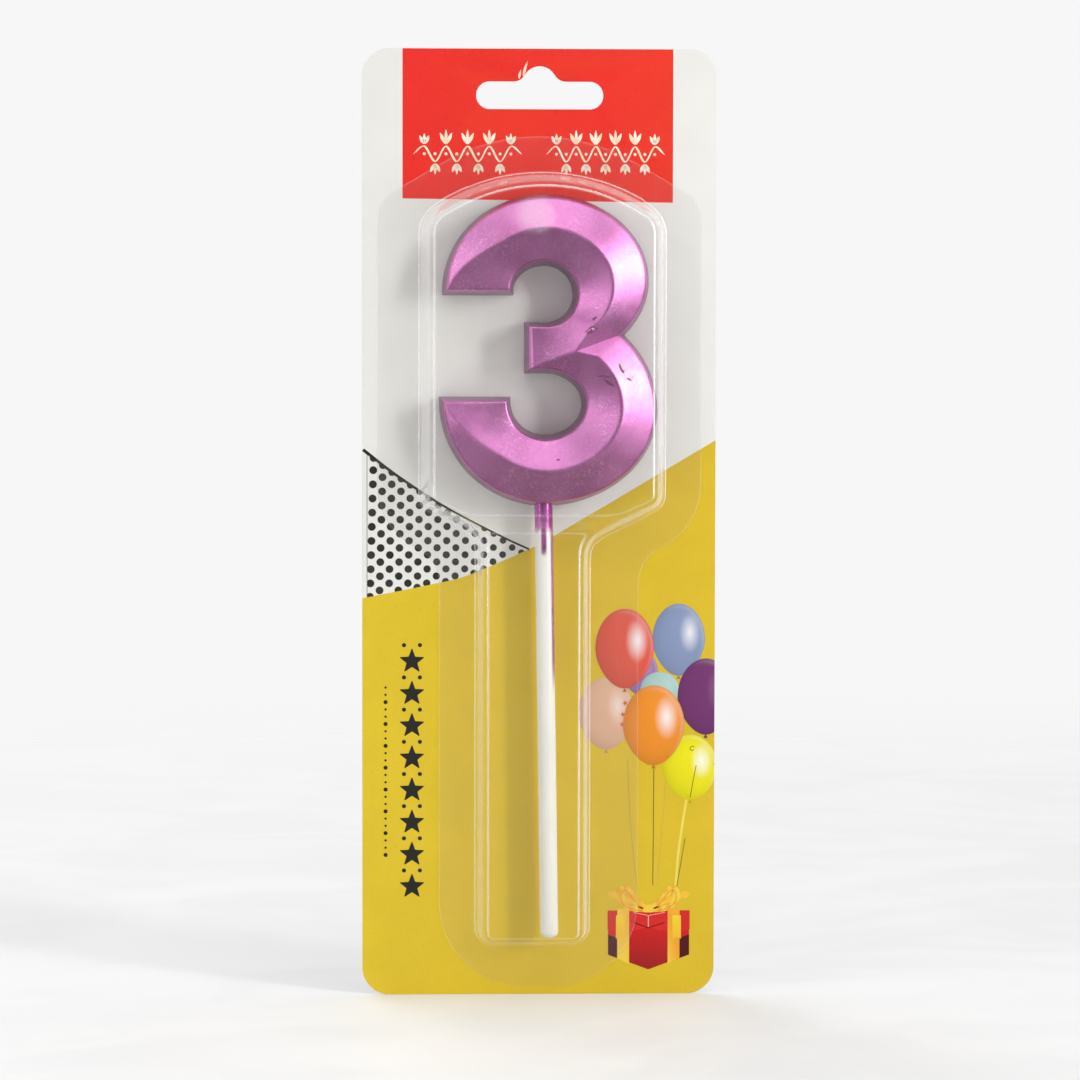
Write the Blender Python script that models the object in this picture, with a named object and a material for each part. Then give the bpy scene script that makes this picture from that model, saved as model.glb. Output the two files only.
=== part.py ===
"""Number birthday candle in its hang pack.

A metal-coated wax figure three, with its wick and its plastic stick, lies
under a clear blister that is sealed to a printed card with a hang slot.

Metres, +Z up, the card's front facing -Y.  The origin is the centre of the
hang slot, in the plane of the card's front face.
"""

import math

import bmesh
import bpy
from mathutils import Vector
from mathutils.geometry import delaunay_2d_cdt

MM = 0.001

# The candle: the figure's front edge, its depth and the stick.
FIGURE_WIDTH = 42.0 * MM
FIGURE_HEIGHT = 60.5 * MM
FIGURE_WALL = 7.6 * MM
RIDGE_RISE = 3.4 * MM
MOULD_DRAFT = 0.9 * MM
STROKE_SIDE = 13.55 * MM
STROKE_END = 12.55 * MM
ARM_HEIGHT = 8.5 * MM
ARM_REACH = 3.2 * MM
WAIST_SHARE = 0.508
STICK_DIAMETER = 3.7 * MM
STICK_EXPOSED = 87.5 * MM
STICK_EMBEDDED = 9.5 * MM
STICK_SHIFT = -1.05 * MM
STICK_LEAN = math.radians(0.85)
STICK_END_ROUND = 1.1 * MM
WICK_DIAMETER = 1.3 * MM
WICK_DEPTH = 9.0 * MM
WICK_RECESS = 0.2 * MM

# The figure's own drawing: how its bowls lean from a symmetrical three.
CROWN_SHIFT = -0.8 * MM
UPPER_INSET_LEFT = 0.6 * MM
UPPER_INSET_RIGHT = 1.8 * MM
END_RAISE = 0.6 * MM
UPPER_BULGE_RAISE = 2.7 * MM
LOWER_BULGE_DROP = 1.3 * MM
NOTCH_DEPTH = 7.1 * MM
NOTCH_RAISE = 2.55 * MM
VALLEY_ACROSS = 8.9 * MM
VALLEY_DOWN = 3.3 * MM
RIDGE_SHARE = 0.5
RIDGE_RAMP = 60.0
JUNCTION_SHARE = 0.85

# The blister: one sheet, a deep bubble for the figure, a trough for the stick.
SHEET = 0.35 * MM
POCKET_DRAFT = 0.15
SHOULDER_RADIUS = 1.9 * MM
BUBBLE_SHIFT = 0.6 * MM
TROUGH_SHIFT = -2.7 * MM
HIP_ANGLE = math.radians(26)
HIP_DROP = 0.8 * MM
RAMP_DROP = 9.1 * MM
RAMP_SLOPE = 0.55
ARCH_ANGLE = math.radians(30.4)
ARCH_RADIUS = 38.5 * MM
BUBBLE_CORNER = 7.0 * MM
HIP_CORNER = 3.5 * MM
TROUGH_CORNER = 3.4 * MM
LEAST_RADIUS = 0.3 * MM
SEAL_SIDE = 7.5 * MM
SEAL_END = 8.75 * MM
FLANGE_CORNER = 14.0 * MM
FLANGE_NECK = 8.0 * MM
FLANGE_END_CORNER = 17.0 * MM

# The card and its hang slot.
CARD_THICKNESS = 0.5 * MM
CARD_CORNER = 5.5 * MM
CARD_SIDE_MARGIN = 3.0 * MM
CARD_END_MARGIN = 1.6 * MM
SLOT_TO_TOP = 9.3 * MM
SLOT_TO_BUBBLE = 15.7 * MM
SLOT_LENGTH = 25.4 * MM
SLOT_HEIGHT = 5.5 * MM
SLOT_END_FLAT = 0.1 * MM
HUMP_RISE = 3.05 * MM
HUMP_ANGLE = math.radians(55)
HUMP_RADIUS = 3.4 * MM
HUMP_FLARE = 2.6 * MM

# Clearances between the pieces.
SEAL_GAP = 0.3 * MM
FIGURE_GAP = 0.4 * MM
FIGURE_SHIFT = 1.2 * MM
SIDE_ROOM = 2.5 * MM
TOP_ROOM = 4.0 * MM
END_ROOM = 1.75 * MM
FRONT_ROOM = 0.6 * MM
TROUGH_SIDE_ROOM = 8.7 * MM
TROUGH_FRONT_ROOM = 2.3 * MM
SOCKET_GAP = 0.3 * MM
BORE_GAP = 0.3 * MM
CUT_THROUGH = 2.0 * MM

# Fineness of the curves.
EDGE_STEP = 1.3 * MM
RIDGE_STEP = 1.7 * MM
SAME_POINT = 0.01 * MM
CREASE_STEPS = 4
FILLET_STEPS = 6
SHOULDER_STEPS = 3
ROUND_SIDES = 24

# Places that follow from the sizes above, z measured from the hang slot.
BUBBLE_APEX = -SLOT_TO_BUBBLE
FIGURE_TOP = BUBBLE_APEX - TOP_ROOM - MOULD_DRAFT
FIGURE_BOTTOM = FIGURE_TOP - FIGURE_HEIGHT
STICK_END = FIGURE_BOTTOM - STICK_EXPOSED * math.cos(STICK_LEAN)
TROUGH_BOTTOM = STICK_END - END_ROOM
FLANGE_BOTTOM = TROUGH_BOTTOM - SEAL_END
CARD_BOTTOM = FLANGE_BOTTOM - CARD_END_MARGIN
FIGURE_X = BUBBLE_SHIFT + FIGURE_SHIFT
FIGURE_BACK = -FIGURE_GAP
FIGURE_EDGE = FIGURE_BACK - FIGURE_WALL
STICK_Y = FIGURE_BACK - FIGURE_WALL / 2
STICK_X = FIGURE_X + STICK_SHIFT
STICK_DRIFT = STICK_EXPOSED * math.sin(STICK_LEAN)
BUBBLE_DEPTH = FIGURE_GAP + FIGURE_WALL + RIDGE_RISE + FRONT_ROOM + SHEET
BUBBLE_HALF = FIGURE_WIDTH / 2 + MOULD_DRAFT + SIDE_ROOM
HIP_Z = FIGURE_BOTTOM - HIP_DROP
TROUGH_X = STICK_X + STICK_DRIFT / 2 + TROUGH_SHIFT
TROUGH_HALF = (STICK_DIAMETER + STICK_DRIFT) / 2 + TROUGH_SIDE_ROOM
TROUGH_DEPTH = -STICK_Y + STICK_DIAMETER / 2 + TROUGH_FRONT_ROOM + SHEET - SEAL_GAP
UPPER_FLANGE_HALF = BUBBLE_HALF + BUBBLE_SHIFT + SEAL_SIDE
LOWER_FLANGE_HALF = TROUGH_HALF + abs(TROUGH_X) + SEAL_SIDE
CARD_HALF = UPPER_FLANGE_HALF + CARD_SIDE_MARGIN


# Helpers ---------------------------------------------------------------------

def clear_scene():
    for item in list(bpy.data.objects):
        bpy.data.objects.remove(item, do_unlink=True)


def principled(name, colour, roughness, metallic=0.0, alpha=1.0):
    material = bpy.data.materials.new(name)
    material.use_nodes = True
    shader = material.node_tree.nodes["Principled BSDF"]
    shader.inputs["Base Color"].default_value = (*colour, 1.0)
    shader.inputs["Roughness"].default_value = roughness
    shader.inputs["Metallic"].default_value = metallic
    shader.inputs["Alpha"].default_value = alpha
    return material


def finish_mesh(name, bm, material=None, sharp_degrees=30):
    """Turns a bmesh into a scene object with its faces pointing out."""
    bmesh.ops.recalc_face_normals(bm, faces=bm.faces)
    mesh = bpy.data.meshes.new(name)
    bm.to_mesh(mesh)
    bm.free()
    mesh.shade_smooth()
    mesh.set_sharp_from_angle(angle=math.radians(sharp_degrees))
    if material:
        mesh.materials.append(material)
    item = bpy.data.objects.new(name, mesh)
    bpy.context.collection.objects.link(item)
    return item


def axis_empty(name, place):
    empty = bpy.data.objects.new(name, None)
    empty.empty_display_size = 10 * MM
    empty.location = place
    bpy.context.collection.objects.link(empty)
    return empty


def hang_on(parent, child):
    """Parents a child to an empty and leaves it where it is."""
    child.parent = parent
    child.location = child.location - parent.location


def boolean(item, tool, operation):
    tool.hide_render = True
    tool.display_type = "WIRE"
    modifier = item.modifiers.new(operation.lower() + " " + tool.name, "BOOLEAN")
    modifier.operation = operation
    modifier.object = tool


def at(x, y, z):
    """A point given by its place across, its place towards the back, its height."""
    return Vector((x, y, z))


# Flat outlines ---------------------------------------------------------------

def fillet(before, corner, after, radius, steps):
    """Points of a corner rounded by an arc, steps + 1 of them."""
    into = (before - corner).normalized()
    out = (after - corner).normalized()
    half = into.angle(out) / 2
    bisector = (into + out).normalized()
    centre = corner + bisector * (radius / math.sin(half))
    start = corner + into * (radius / math.tan(half)) - centre
    end = corner + out * (radius / math.tan(half)) - centre
    turn = math.atan2(start.cross(end), start.dot(end))
    points = []
    for i in range(steps + 1):
        angle = turn * i / steps
        cosine, sine = math.cos(angle), math.sin(angle)
        points.append(centre + Vector((start.x * cosine - start.y * sine,
                                       start.x * sine + start.y * cosine)))
    return points


def rounded(corners, radii, steps=FILLET_STEPS):
    """A closed outline from its corners, each rounded by its own radius."""
    points = []
    for i, corner in enumerate(corners):
        before = corners[i - 1]
        after = corners[(i + 1) % len(corners)]
        points += fillet(before, corner, after, radii[i], steps)
    return points


def inset(corners, distances):
    """Moves each side of a clockwise polygon inwards; side i starts at corner i."""
    lines = []
    for i, corner in enumerate(corners):
        along = (corners[(i + 1) % len(corners)] - corner).normalized()
        inward = Vector((along.y, -along.x))
        lines.append((corner + inward * distances[i], along))
    moved = []
    for i, (place, along) in enumerate(lines):
        last_place, last_along = lines[i - 1]
        reach = (place - last_place).cross(along) / last_along.cross(along)
        moved.append(last_place + last_along * reach)
    return moved


def plate(name, outline, holes, back, front, material):
    """A flat plate between two planes, with holes through it."""
    bm = bmesh.new()
    edges = []
    for loop in [outline] + holes:
        ring = [bm.verts.new(at(p.x, back, p.y)) for p in loop]
        edges += [bm.edges.new((ring[i - 1], ring[i])) for i in range(len(ring))]
    bmesh.ops.triangle_fill(bm, use_beauty=True, edges=edges)
    raised = bmesh.ops.extrude_face_region(bm, geom=bm.faces[:], use_keep_orig=True)
    corners = [v for v in raised["geom"] if isinstance(v, bmesh.types.BMVert)]
    bmesh.ops.translate(bm, verts=corners, vec=(0, front - back, 0))
    return finish_mesh(name, bm, material)


def loft(name, rings, material=None):
    """A closed solid through rings of equal length, each a (y, outline) pair."""
    bm = bmesh.new()
    rows = []
    for y, outline in rings:
        rows.append([bm.verts.new(at(p.x, y, p.y)) for p in outline])
    for low, high in zip(rows, rows[1:]):
        for i in range(len(low)):
            bm.faces.new((low[i - 1], low[i], high[i], high[i - 1]))
    bm.faces.new(rows[0])
    bm.faces.new(rows[-1])
    return finish_mesh(name, bm, material)


# The figure three ------------------------------------------------------------

def bowl(crown_z, roof_z, near_z, left, right, bulge_shift, notch):
    """One bowl of the three, as matching outer and inner elliptical arcs.

    An arc is (centre, radii, first angle, last angle).  Angles run from the
    open end, 180, over the crown, 90, to the bulge, 0, and on to the waist.
    """
    middle = (roof_z + near_z) / 2
    end_z = middle + END_RAISE
    bulge_z = middle + bulge_shift
    across = right - CROWN_SHIFT
    notch_cosine = (notch.x - CROWN_SHIFT) / across
    notch_angle = math.degrees(math.acos(notch_cosine))
    notch_radius = abs(bulge_z - notch.y) / math.sin(math.radians(notch_angle))
    inner_left = CROWN_SHIFT - (left + STROKE_END)
    inner_right = right - STROKE_SIDE - CROWN_SHIFT
    end_centre = Vector((CROWN_SHIFT, end_z))
    bulge_centre = Vector((CROWN_SHIFT, bulge_z))
    middle_centre = Vector((CROWN_SHIFT, middle))
    outer = [
        (end_centre, (CROWN_SHIFT - left, abs(crown_z - end_z)), 180, 90),
        (bulge_centre, (across, abs(crown_z - bulge_z)), 90, 0),
        (bulge_centre, (across, notch_radius), 0, -notch_angle),
    ]
    inner = [
        (end_centre, (inner_left, abs(roof_z - end_z)), 180, 90),
        (middle_centre, (inner_right, abs(roof_z - middle)), 90, 0),
        (middle_centre, (inner_right, abs(near_z - middle)), 0, -90),
    ]
    return outer, inner


def on_arc(arc, angle, flip):
    centre, radii, _, _ = arc
    turn = math.radians(angle)
    return centre + Vector((radii[0] * math.cos(turn), flip * radii[1] * math.sin(turn)))


def arc_points(arcs, flip):
    """Points along a chain of arcs, about EDGE_STEP apart."""
    points = []
    for arc in arcs:
        _, radii, first, last = arc
        length = math.radians(abs(last - first)) * (radii[0] + radii[1]) / 2
        count = max(2, round(length / EDGE_STEP))
        start = 0 if not points else 1
        for i in range(start, count + 1):
            points.append(on_arc(arc, first + (last - first) * i / count, flip))
    return points


def ridge_points(outer, inner, flip):
    """The ridge between two chains of arcs: (point, share of the full rise)."""
    points = []
    for outer_arc, inner_arc in zip(outer, inner):
        _, radii, first, last = outer_arc
        length = math.radians(abs(last - first)) * (radii[0] + radii[1]) / 2
        count = max(2, round(length / RIDGE_STEP))
        start = 0 if not points else 1
        for i in range(start, count + 1):
            angle = first + (last - first) * i / count
            ramp = min(1.0, (180 - angle) / RIDGE_RAMP)
            share = math.sin(ramp * math.pi / 2)
            edge = on_arc(outer_arc, angle, flip)
            hole = on_arc(inner_arc, angle, flip)
            points.append((edge.lerp(hole, RIDGE_SHARE * share), share))
    return points


def figure_drawing():
    """The three's outline and its creases, from the middle of its foot."""
    half = FIGURE_WIDTH / 2
    waist = WAIST_SHARE * FIGURE_HEIGHT
    arm_top = waist + ARM_HEIGHT / 2
    arm_bottom = waist - ARM_HEIGHT / 2
    notch = Vector((half - NOTCH_DEPTH, waist + NOTCH_RAISE))
    junction = notch - Vector((VALLEY_ACROSS, VALLEY_DOWN))
    arm_tip_top = Vector((CROWN_SHIFT - ARM_REACH, arm_top))
    arm_tip_bottom = Vector((CROWN_SHIFT - ARM_REACH, arm_bottom))
    upper_outer, upper_inner = bowl(
        FIGURE_HEIGHT, FIGURE_HEIGHT - STROKE_END, arm_top,
        -half + UPPER_INSET_LEFT, half - UPPER_INSET_RIGHT, UPPER_BULGE_RAISE, notch)
    lower_outer, lower_inner = bowl(
        0.0, STROKE_END, arm_bottom, -half, half, -LOWER_BULGE_DROP, notch)

    outline = arc_points(upper_outer, 1)
    outline += arc_points(lower_outer, -1)[-2::-1]
    outline += arc_points(lower_inner, -1)
    outline += [arm_tip_bottom, arm_tip_top]
    outline += arc_points(upper_inner, 1)[::-1]

    meeting = (junction, JUNCTION_SHARE)
    upper_ridge = ridge_points(upper_outer, upper_inner, 1) + [meeting]
    steps = [i / CREASE_STEPS for i in range(CREASE_STEPS + 1)]
    tail = [(junction.lerp(arm_tip_bottom, part), JUNCTION_SHARE * (1 - part))
            for part in steps[1:]]
    lower_ridge = ridge_points(lower_outer, lower_inner, -1) + [meeting] + tail
    valley = [(notch.lerp(junction, part), JUNCTION_SHARE * part) for part in steps]
    return outline, [upper_ridge, lower_ridge, valley]


def grown(outline, distance):
    """A clockwise outline moved outwards, with its corners kept."""
    moved = []
    for i, point in enumerate(outline):
        before = (point - outline[i - 1]).normalized()
        after = (outline[(i + 1) % len(outline)] - point).normalized()
        normal_before = Vector((-before.y, before.x))
        normal_after = Vector((-after.y, after.x))
        middle = (normal_before + normal_after).normalized()
        moved.append(point + middle * (distance / max(0.5, middle.dot(normal_after))))
    return moved


def inside(point, outline):
    crossings = 0
    for i, corner in enumerate(outline):
        last = outline[i - 1]
        if (corner.y > point.y) != (last.y > point.y):
            cut = corner.x + (point.y - corner.y) * (last.x - corner.x) / (last.y - corner.y)
            crossings += point.x < cut
    return crossings % 2 == 1


def faceted_front(outline, creases):
    """Triangles between an outline and its creases, as points, rises, triples."""
    points = list(outline)
    rises = [0.0] * len(outline)
    count = len(outline)
    edges = [(i, (i + 1) % count) for i in range(count)]
    for crease in creases:
        places = []
        for point, share in crease:
            nearest = min(range(len(points)), key=lambda i: (points[i] - point).length)
            if (points[nearest] - point).length < SAME_POINT:
                places.append(nearest)
                continue
            places.append(len(points))
            points.append(point)
            rises.append(share * RIDGE_RISE)
        edges += list(zip(places, places[1:]))
    result = delaunay_2d_cdt(points, edges, [], 0, 1e-7)
    triangles = []
    for face in result[2]:
        middle = sum((points[i] for i in face), Vector((0, 0))) / 3
        if inside(middle, outline):
            triangles.append(face)
    return points, rises, triangles


def make_figure(material):
    outline, creases = figure_drawing()
    points, rises, triangles = faceted_front(outline, creases)
    back_outline = grown(outline, MOULD_DRAFT)
    bm = bmesh.new()
    front = [bm.verts.new(at(p.x, FIGURE_EDGE - rise, p.y))
             for p, rise in zip(points, rises)]
    for triangle in triangles:
        bm.faces.new([front[i] for i in triangle])
    back = [bm.verts.new(at(p.x, FIGURE_BACK, p.y)) for p in back_outline]
    rim = front[:len(outline)]
    for i in range(len(rim)):
        bm.faces.new((rim[i - 1], rim[i], back[i], back[i - 1]))
    bm.faces.new(back)
    bmesh.ops.translate(bm, verts=bm.verts, vec=(FIGURE_X, 0, FIGURE_BOTTOM))
    return finish_mesh("candle_digit", bm, material, 12)


def rod(name, radius, length, material=None, end_round=0.0):
    """A round rod along Z, from the origin downwards, its lower end rounded."""
    bm = bmesh.new()
    bmesh.ops.create_cone(bm, cap_ends=True, segments=ROUND_SIDES, radius1=radius,
                          radius2=radius, depth=length)
    bmesh.ops.translate(bm, verts=bm.verts, vec=(0, 0, -length / 2))
    if end_round:
        rim = [e for e in bm.edges if all(v.co.z < -length * 0.99 for v in e.verts)]
        bmesh.ops.bevel(bm, geom=rim, offset=end_round, segments=3, profile=0.5,
                        affect="EDGES")
    return finish_mesh(name, bm, material)


def make_candle(wax, plastic, cotton):
    lift = axis_empty("candle_lift_axis", at(FIGURE_X, FIGURE_BACK, FIGURE_BOTTOM))
    figure = make_figure(wax)

    stick_length = STICK_EMBEDDED + STICK_EXPOSED
    stick = rod("candle_stick", STICK_DIAMETER / 2, stick_length, plastic, STICK_END_ROUND)
    socket = rod("socket_cutter", STICK_DIAMETER / 2 + SOCKET_GAP,
                 STICK_EMBEDDED + SOCKET_GAP + CUT_THROUGH)
    for piece, above in ((stick, STICK_EMBEDDED), (socket, STICK_EMBEDDED + SOCKET_GAP)):
        piece.location = at(STICK_X - above * math.sin(STICK_LEAN), STICK_Y,
                            FIGURE_BOTTOM + above * math.cos(STICK_LEAN))
        piece.rotation_euler = (0, -STICK_LEAN, 0)
    boolean(figure, socket, "DIFFERENCE")

    wick_x = FIGURE_X + CROWN_SHIFT
    wick = rod("candle_wick", WICK_DIAMETER / 2, WICK_DEPTH - WICK_RECESS, cotton)
    wick.location = at(wick_x, STICK_Y, FIGURE_TOP - WICK_RECESS)
    bore = rod("bore_cutter", WICK_DIAMETER / 2 + BORE_GAP,
               WICK_DEPTH + BORE_GAP + CUT_THROUGH)
    bore.location = at(wick_x, STICK_Y, FIGURE_TOP + CUT_THROUGH)
    boolean(figure, bore, "DIFFERENCE")

    for piece in (figure, stick, wick, socket, bore):
        hang_on(lift, piece)


# The blister -----------------------------------------------------------------

def arch_corners(middle, half, apex, floor):
    """Peak, right shoulder and right floor corner of an arched pocket, and left."""
    peak = apex + ARCH_RADIUS * (1 / math.cos(ARCH_ANGLE) - 1)
    shoulder = peak - half * math.tan(ARCH_ANGLE)
    return (Vector((middle, peak)), Vector((middle + half, shoulder)),
            Vector((middle + half, floor)), Vector((middle - half, floor)),
            Vector((middle - half, shoulder)))


def bubble_ring(depth, shrink):
    """The bubble's outline at a depth, its walls moved in by shrink."""
    floor = HIP_Z - RAMP_DROP + RAMP_SLOPE * depth
    peak, right, right_hip, left_hip, left = arch_corners(
        BUBBLE_SHIFT, BUBBLE_HALF, BUBBLE_APEX, HIP_Z)
    run = (HIP_Z - floor) / math.tan(HIP_ANGLE)
    right_floor = Vector((right_hip.x - run, floor))
    left_floor = Vector((left_hip.x + run, floor))
    corners = [peak, right, right_hip, right_floor, left_floor, left_hip, left]
    radii = [ARCH_RADIUS, BUBBLE_CORNER, HIP_CORNER, HIP_CORNER, HIP_CORNER,
             HIP_CORNER, BUBBLE_CORNER]
    return rounded(inset(corners, [shrink] * len(corners)),
                   [max(LEAST_RADIUS, r - shrink) for r in radii])


def trough_ring(shrink):
    """The trough's outline, its walls moved in by shrink; its top is in the bubble."""
    left = TROUGH_X - TROUGH_HALF
    right = TROUGH_X + TROUGH_HALF
    top = HIP_Z + SHOULDER_RADIUS
    corners = [Vector((left, top)), Vector((right, top)),
               Vector((right, TROUGH_BOTTOM)), Vector((left, TROUGH_BOTTOM))]
    radius = max(LEAST_RADIUS, TROUGH_CORNER - shrink)
    return rounded(inset(corners, [0.0, shrink, shrink, shrink]),
                   [LEAST_RADIUS, LEAST_RADIUS, radius, radius])


def pocket_levels(depth):
    """(depth, shrink) pairs up a drafted wall and round its shoulder."""
    straight = depth - SHOULDER_RADIUS
    levels = [(0.0, 0.0), (straight, straight * POCKET_DRAFT)]
    for i in range(1, SHOULDER_STEPS + 1):
        turn = math.pi / 2 * i / SHOULDER_STEPS
        levels.append((straight + SHOULDER_RADIUS * math.sin(turn),
                       straight * POCKET_DRAFT + SHOULDER_RADIUS * (1 - math.cos(turn))))
    return levels


def pocket_rings(ring, depth, sheet, base):
    """Rings of a pocket's skin, sheet inside the outer one, starting at base."""
    rings = []
    for level, shrink in pocket_levels(depth):
        y = -SEAL_GAP - level + sheet
        rings.append((base if not rings else y, ring(level, shrink + sheet)))
    return rings


def flange_outline():
    peak = BUBBLE_APEX + SEAL_SIDE
    seal_drop = SEAL_SIDE / math.cos(HIP_ANGLE)
    top, right, _, _, left = arch_corners(0.0, UPPER_FLANGE_HALF, peak, HIP_Z)
    reach = (UPPER_FLANGE_HALF - BUBBLE_SHIFT - BUBBLE_HALF) * math.tan(HIP_ANGLE)
    hip = HIP_Z + reach - seal_drop
    neck = hip - (UPPER_FLANGE_HALF - LOWER_FLANGE_HALF) * math.tan(HIP_ANGLE)
    corners = [
        top, right,
        Vector((UPPER_FLANGE_HALF, hip)), Vector((LOWER_FLANGE_HALF, neck)),
        Vector((LOWER_FLANGE_HALF, FLANGE_BOTTOM)), Vector((-LOWER_FLANGE_HALF, FLANGE_BOTTOM)),
        Vector((-LOWER_FLANGE_HALF, neck)), Vector((-UPPER_FLANGE_HALF, hip)), left,
    ]
    radii = [ARCH_RADIUS, BUBBLE_CORNER, FLANGE_CORNER, FLANGE_NECK, FLANGE_END_CORNER,
             FLANGE_END_CORNER, FLANGE_NECK, FLANGE_CORNER, BUBBLE_CORNER]
    return rounded(corners, radii)


def make_blister(material):
    lift = axis_empty("blister_lift_axis", at(0, -SEAL_GAP, 0))
    flange = plate("blister_shell", flange_outline(), [], -SEAL_GAP, -SEAL_GAP - SHEET, material)
    pockets = (("bubble", bubble_ring, BUBBLE_DEPTH),
               ("trough", lambda level, shrink: trough_ring(shrink), TROUGH_DEPTH))
    middle = -SEAL_GAP - SHEET / 2
    behind = -SEAL_GAP + CUT_THROUGH
    skins = []
    voids = []
    for name, ring, depth in pockets:
        skins.append(loft(name + "_skin", pocket_rings(ring, depth, 0.0, middle)))
        voids.append(loft(name + "_void", pocket_rings(ring, depth, SHEET, behind)))
    for skin in skins:
        boolean(flange, skin, "UNION")
    for void in voids:
        boolean(flange, void, "DIFFERENCE")
    for piece in [flange] + skins + voids:
        hang_on(lift, piece)


# The card --------------------------------------------------------------------

def slot_outline():
    """The hang slot: a long round-ended slot with a hump over its middle."""
    half = SLOT_LENGTH / 2
    rise = SLOT_HEIGHT / 2
    peak = HUMP_RISE + HUMP_RADIUS * (1 / math.cos(HUMP_ANGLE) - 1)
    hump = peak / math.tan(HUMP_ANGLE)
    end = rise - SLOT_END_FLAT / 2
    corners = [
        Vector((0, rise + peak)), Vector((hump, rise)),
        Vector((half, rise)), Vector((half, -rise)), Vector((-half, -rise)),
        Vector((-half, rise)), Vector((-hump, rise)),
    ]
    return rounded(corners, [HUMP_RADIUS, HUMP_FLARE, end, end, end, end, HUMP_FLARE])


def make_card(material):
    corners = [Vector((-CARD_HALF, SLOT_TO_TOP)), Vector((CARD_HALF, SLOT_TO_TOP)),
               Vector((CARD_HALF, CARD_BOTTOM)), Vector((-CARD_HALF, CARD_BOTTOM))]
    outline = rounded(corners, [CARD_CORNER] * 4)
    plate("backing_card", outline, [slot_outline()], CARD_THICKNESS, 0.0, material)


def main():
    clear_scene()
    make_card(principled("printed_card", (0.73, 0.73, 0.70), 0.45))
    make_blister(principled("clear_sheet", (0.92, 0.95, 0.95), 0.08, alpha=0.25))
    make_candle(principled("metallic_wax", (0.45, 0.10, 0.38), 0.3, metallic=0.8),
                principled("white_plastic", (0.85, 0.85, 0.84), 0.35),
                principled("cotton", (0.80, 0.76, 0.66), 0.9))


main()
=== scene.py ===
"""The looks of the numeral candle in its hang pack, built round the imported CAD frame.

Lengths are millimetres unless a name or comment says otherwise. The card's print is
laid out from the card's middle (across) and its lower edge (up).
"""

import math
import random

import bmesh
import bpy
import numpy as np
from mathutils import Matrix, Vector, noise


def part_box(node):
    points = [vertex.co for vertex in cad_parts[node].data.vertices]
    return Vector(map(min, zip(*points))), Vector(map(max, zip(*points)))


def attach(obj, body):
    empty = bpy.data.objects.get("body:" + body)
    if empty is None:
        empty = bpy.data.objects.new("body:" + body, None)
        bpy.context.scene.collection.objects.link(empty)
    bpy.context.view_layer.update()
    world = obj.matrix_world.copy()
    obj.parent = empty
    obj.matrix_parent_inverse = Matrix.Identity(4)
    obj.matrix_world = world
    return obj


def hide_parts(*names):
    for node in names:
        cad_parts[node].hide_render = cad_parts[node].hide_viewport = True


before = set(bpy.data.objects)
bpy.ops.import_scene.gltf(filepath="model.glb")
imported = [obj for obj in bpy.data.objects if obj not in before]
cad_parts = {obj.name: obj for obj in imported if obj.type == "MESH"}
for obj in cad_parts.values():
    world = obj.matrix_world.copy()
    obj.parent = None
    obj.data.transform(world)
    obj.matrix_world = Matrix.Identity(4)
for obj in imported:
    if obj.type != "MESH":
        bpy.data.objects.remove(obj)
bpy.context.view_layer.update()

MM = 0.001

# Places from the CAD frame, in millimetres.
card_lo, card_hi = (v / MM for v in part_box("backing_card"))
blister_lo, blister_hi = (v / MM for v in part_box("blister_shell"))
digit_lo, digit_hi = (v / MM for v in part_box("candle_digit"))
stick_lo, stick_hi = (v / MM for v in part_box("candle_stick"))
wick_lo, wick_hi = (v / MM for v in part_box("candle_wick"))

# The numeral's drawing, from the middle of its foot.
DRAFT = 0.9
FIGURE_X = (digit_lo.x + digit_hi.x) / 2
FIGURE_BOTTOM = digit_lo.z + DRAFT
FIGURE_HALF = (digit_hi.x - digit_lo.x) / 2 - DRAFT
FIGURE_HEIGHT = digit_hi.z - digit_lo.z - 2 * DRAFT
FIGURE_BACK = digit_hi.y
RIDGE_RISE = 3.4
FIGURE_EDGE = digit_lo.y + RIDGE_RISE
STROKE_SIDE = 13.55
STROKE_END = 12.55
ARM_HEIGHT = 8.5
ARM_REACH = 3.2
WAIST_SHARE = 0.508
CROWN_SHIFT = -0.8
UPPER_INSET_LEFT = 0.6
UPPER_INSET_RIGHT = 1.8
END_RAISE = 0.6
UPPER_BULGE_RAISE = 2.7
LOWER_BULGE_DROP = 1.3
NOTCH_DEPTH = 7.1
NOTCH_RAISE = 2.55
VALLEY_ACROSS = 8.9
VALLEY_DOWN = 3.3
JUNCTION_SHARE = 0.85
JUNCTION_REACH = 8.0
RIDGE_RAMP = 60.0
CREST = 0.55
RIM = 0.42

# The card's face is set back by the depth of the ink, which lies in thin layers.
INK = 0.1
INK_LAYER = 0.011
CARD_CORNER = 5.5
CARD_BEVEL = 0.07

# The blister.
SHEET = 0.25
LIP_WIDTH = 0.3
LIP_DROP = 0.09
SEAL_SIDE = 7.5
SEAL_END = 8.75
FLANGE_FRONT = -0.65
BUBBLE_APEX = blister_hi.z - SEAL_SIDE
BUBBLE_X = 0.6
BUBBLE_HALF = 24.4
BUBBLE_RISE = FLANGE_FRONT - blister_lo.y
HIP_Z = FIGURE_BOTTOM - 0.8
HIP_ANGLE = math.radians(26)
RAMP_DROP = 9.1
RAMP_SLOPE = 0.55
TROUGH_X = -1.3
TROUGH_HALF = 11.2
TROUGH_RISE = 8.05
TROUGH_BOTTOM = blister_lo.z + SEAL_END
WALL_DRAFT = 0.15
SHOULDER = 1.9
BASE_FILLET = 0.8
ARCH_ANGLE = math.radians(30.4)
ARCH_RADIUS = 38.5

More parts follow.
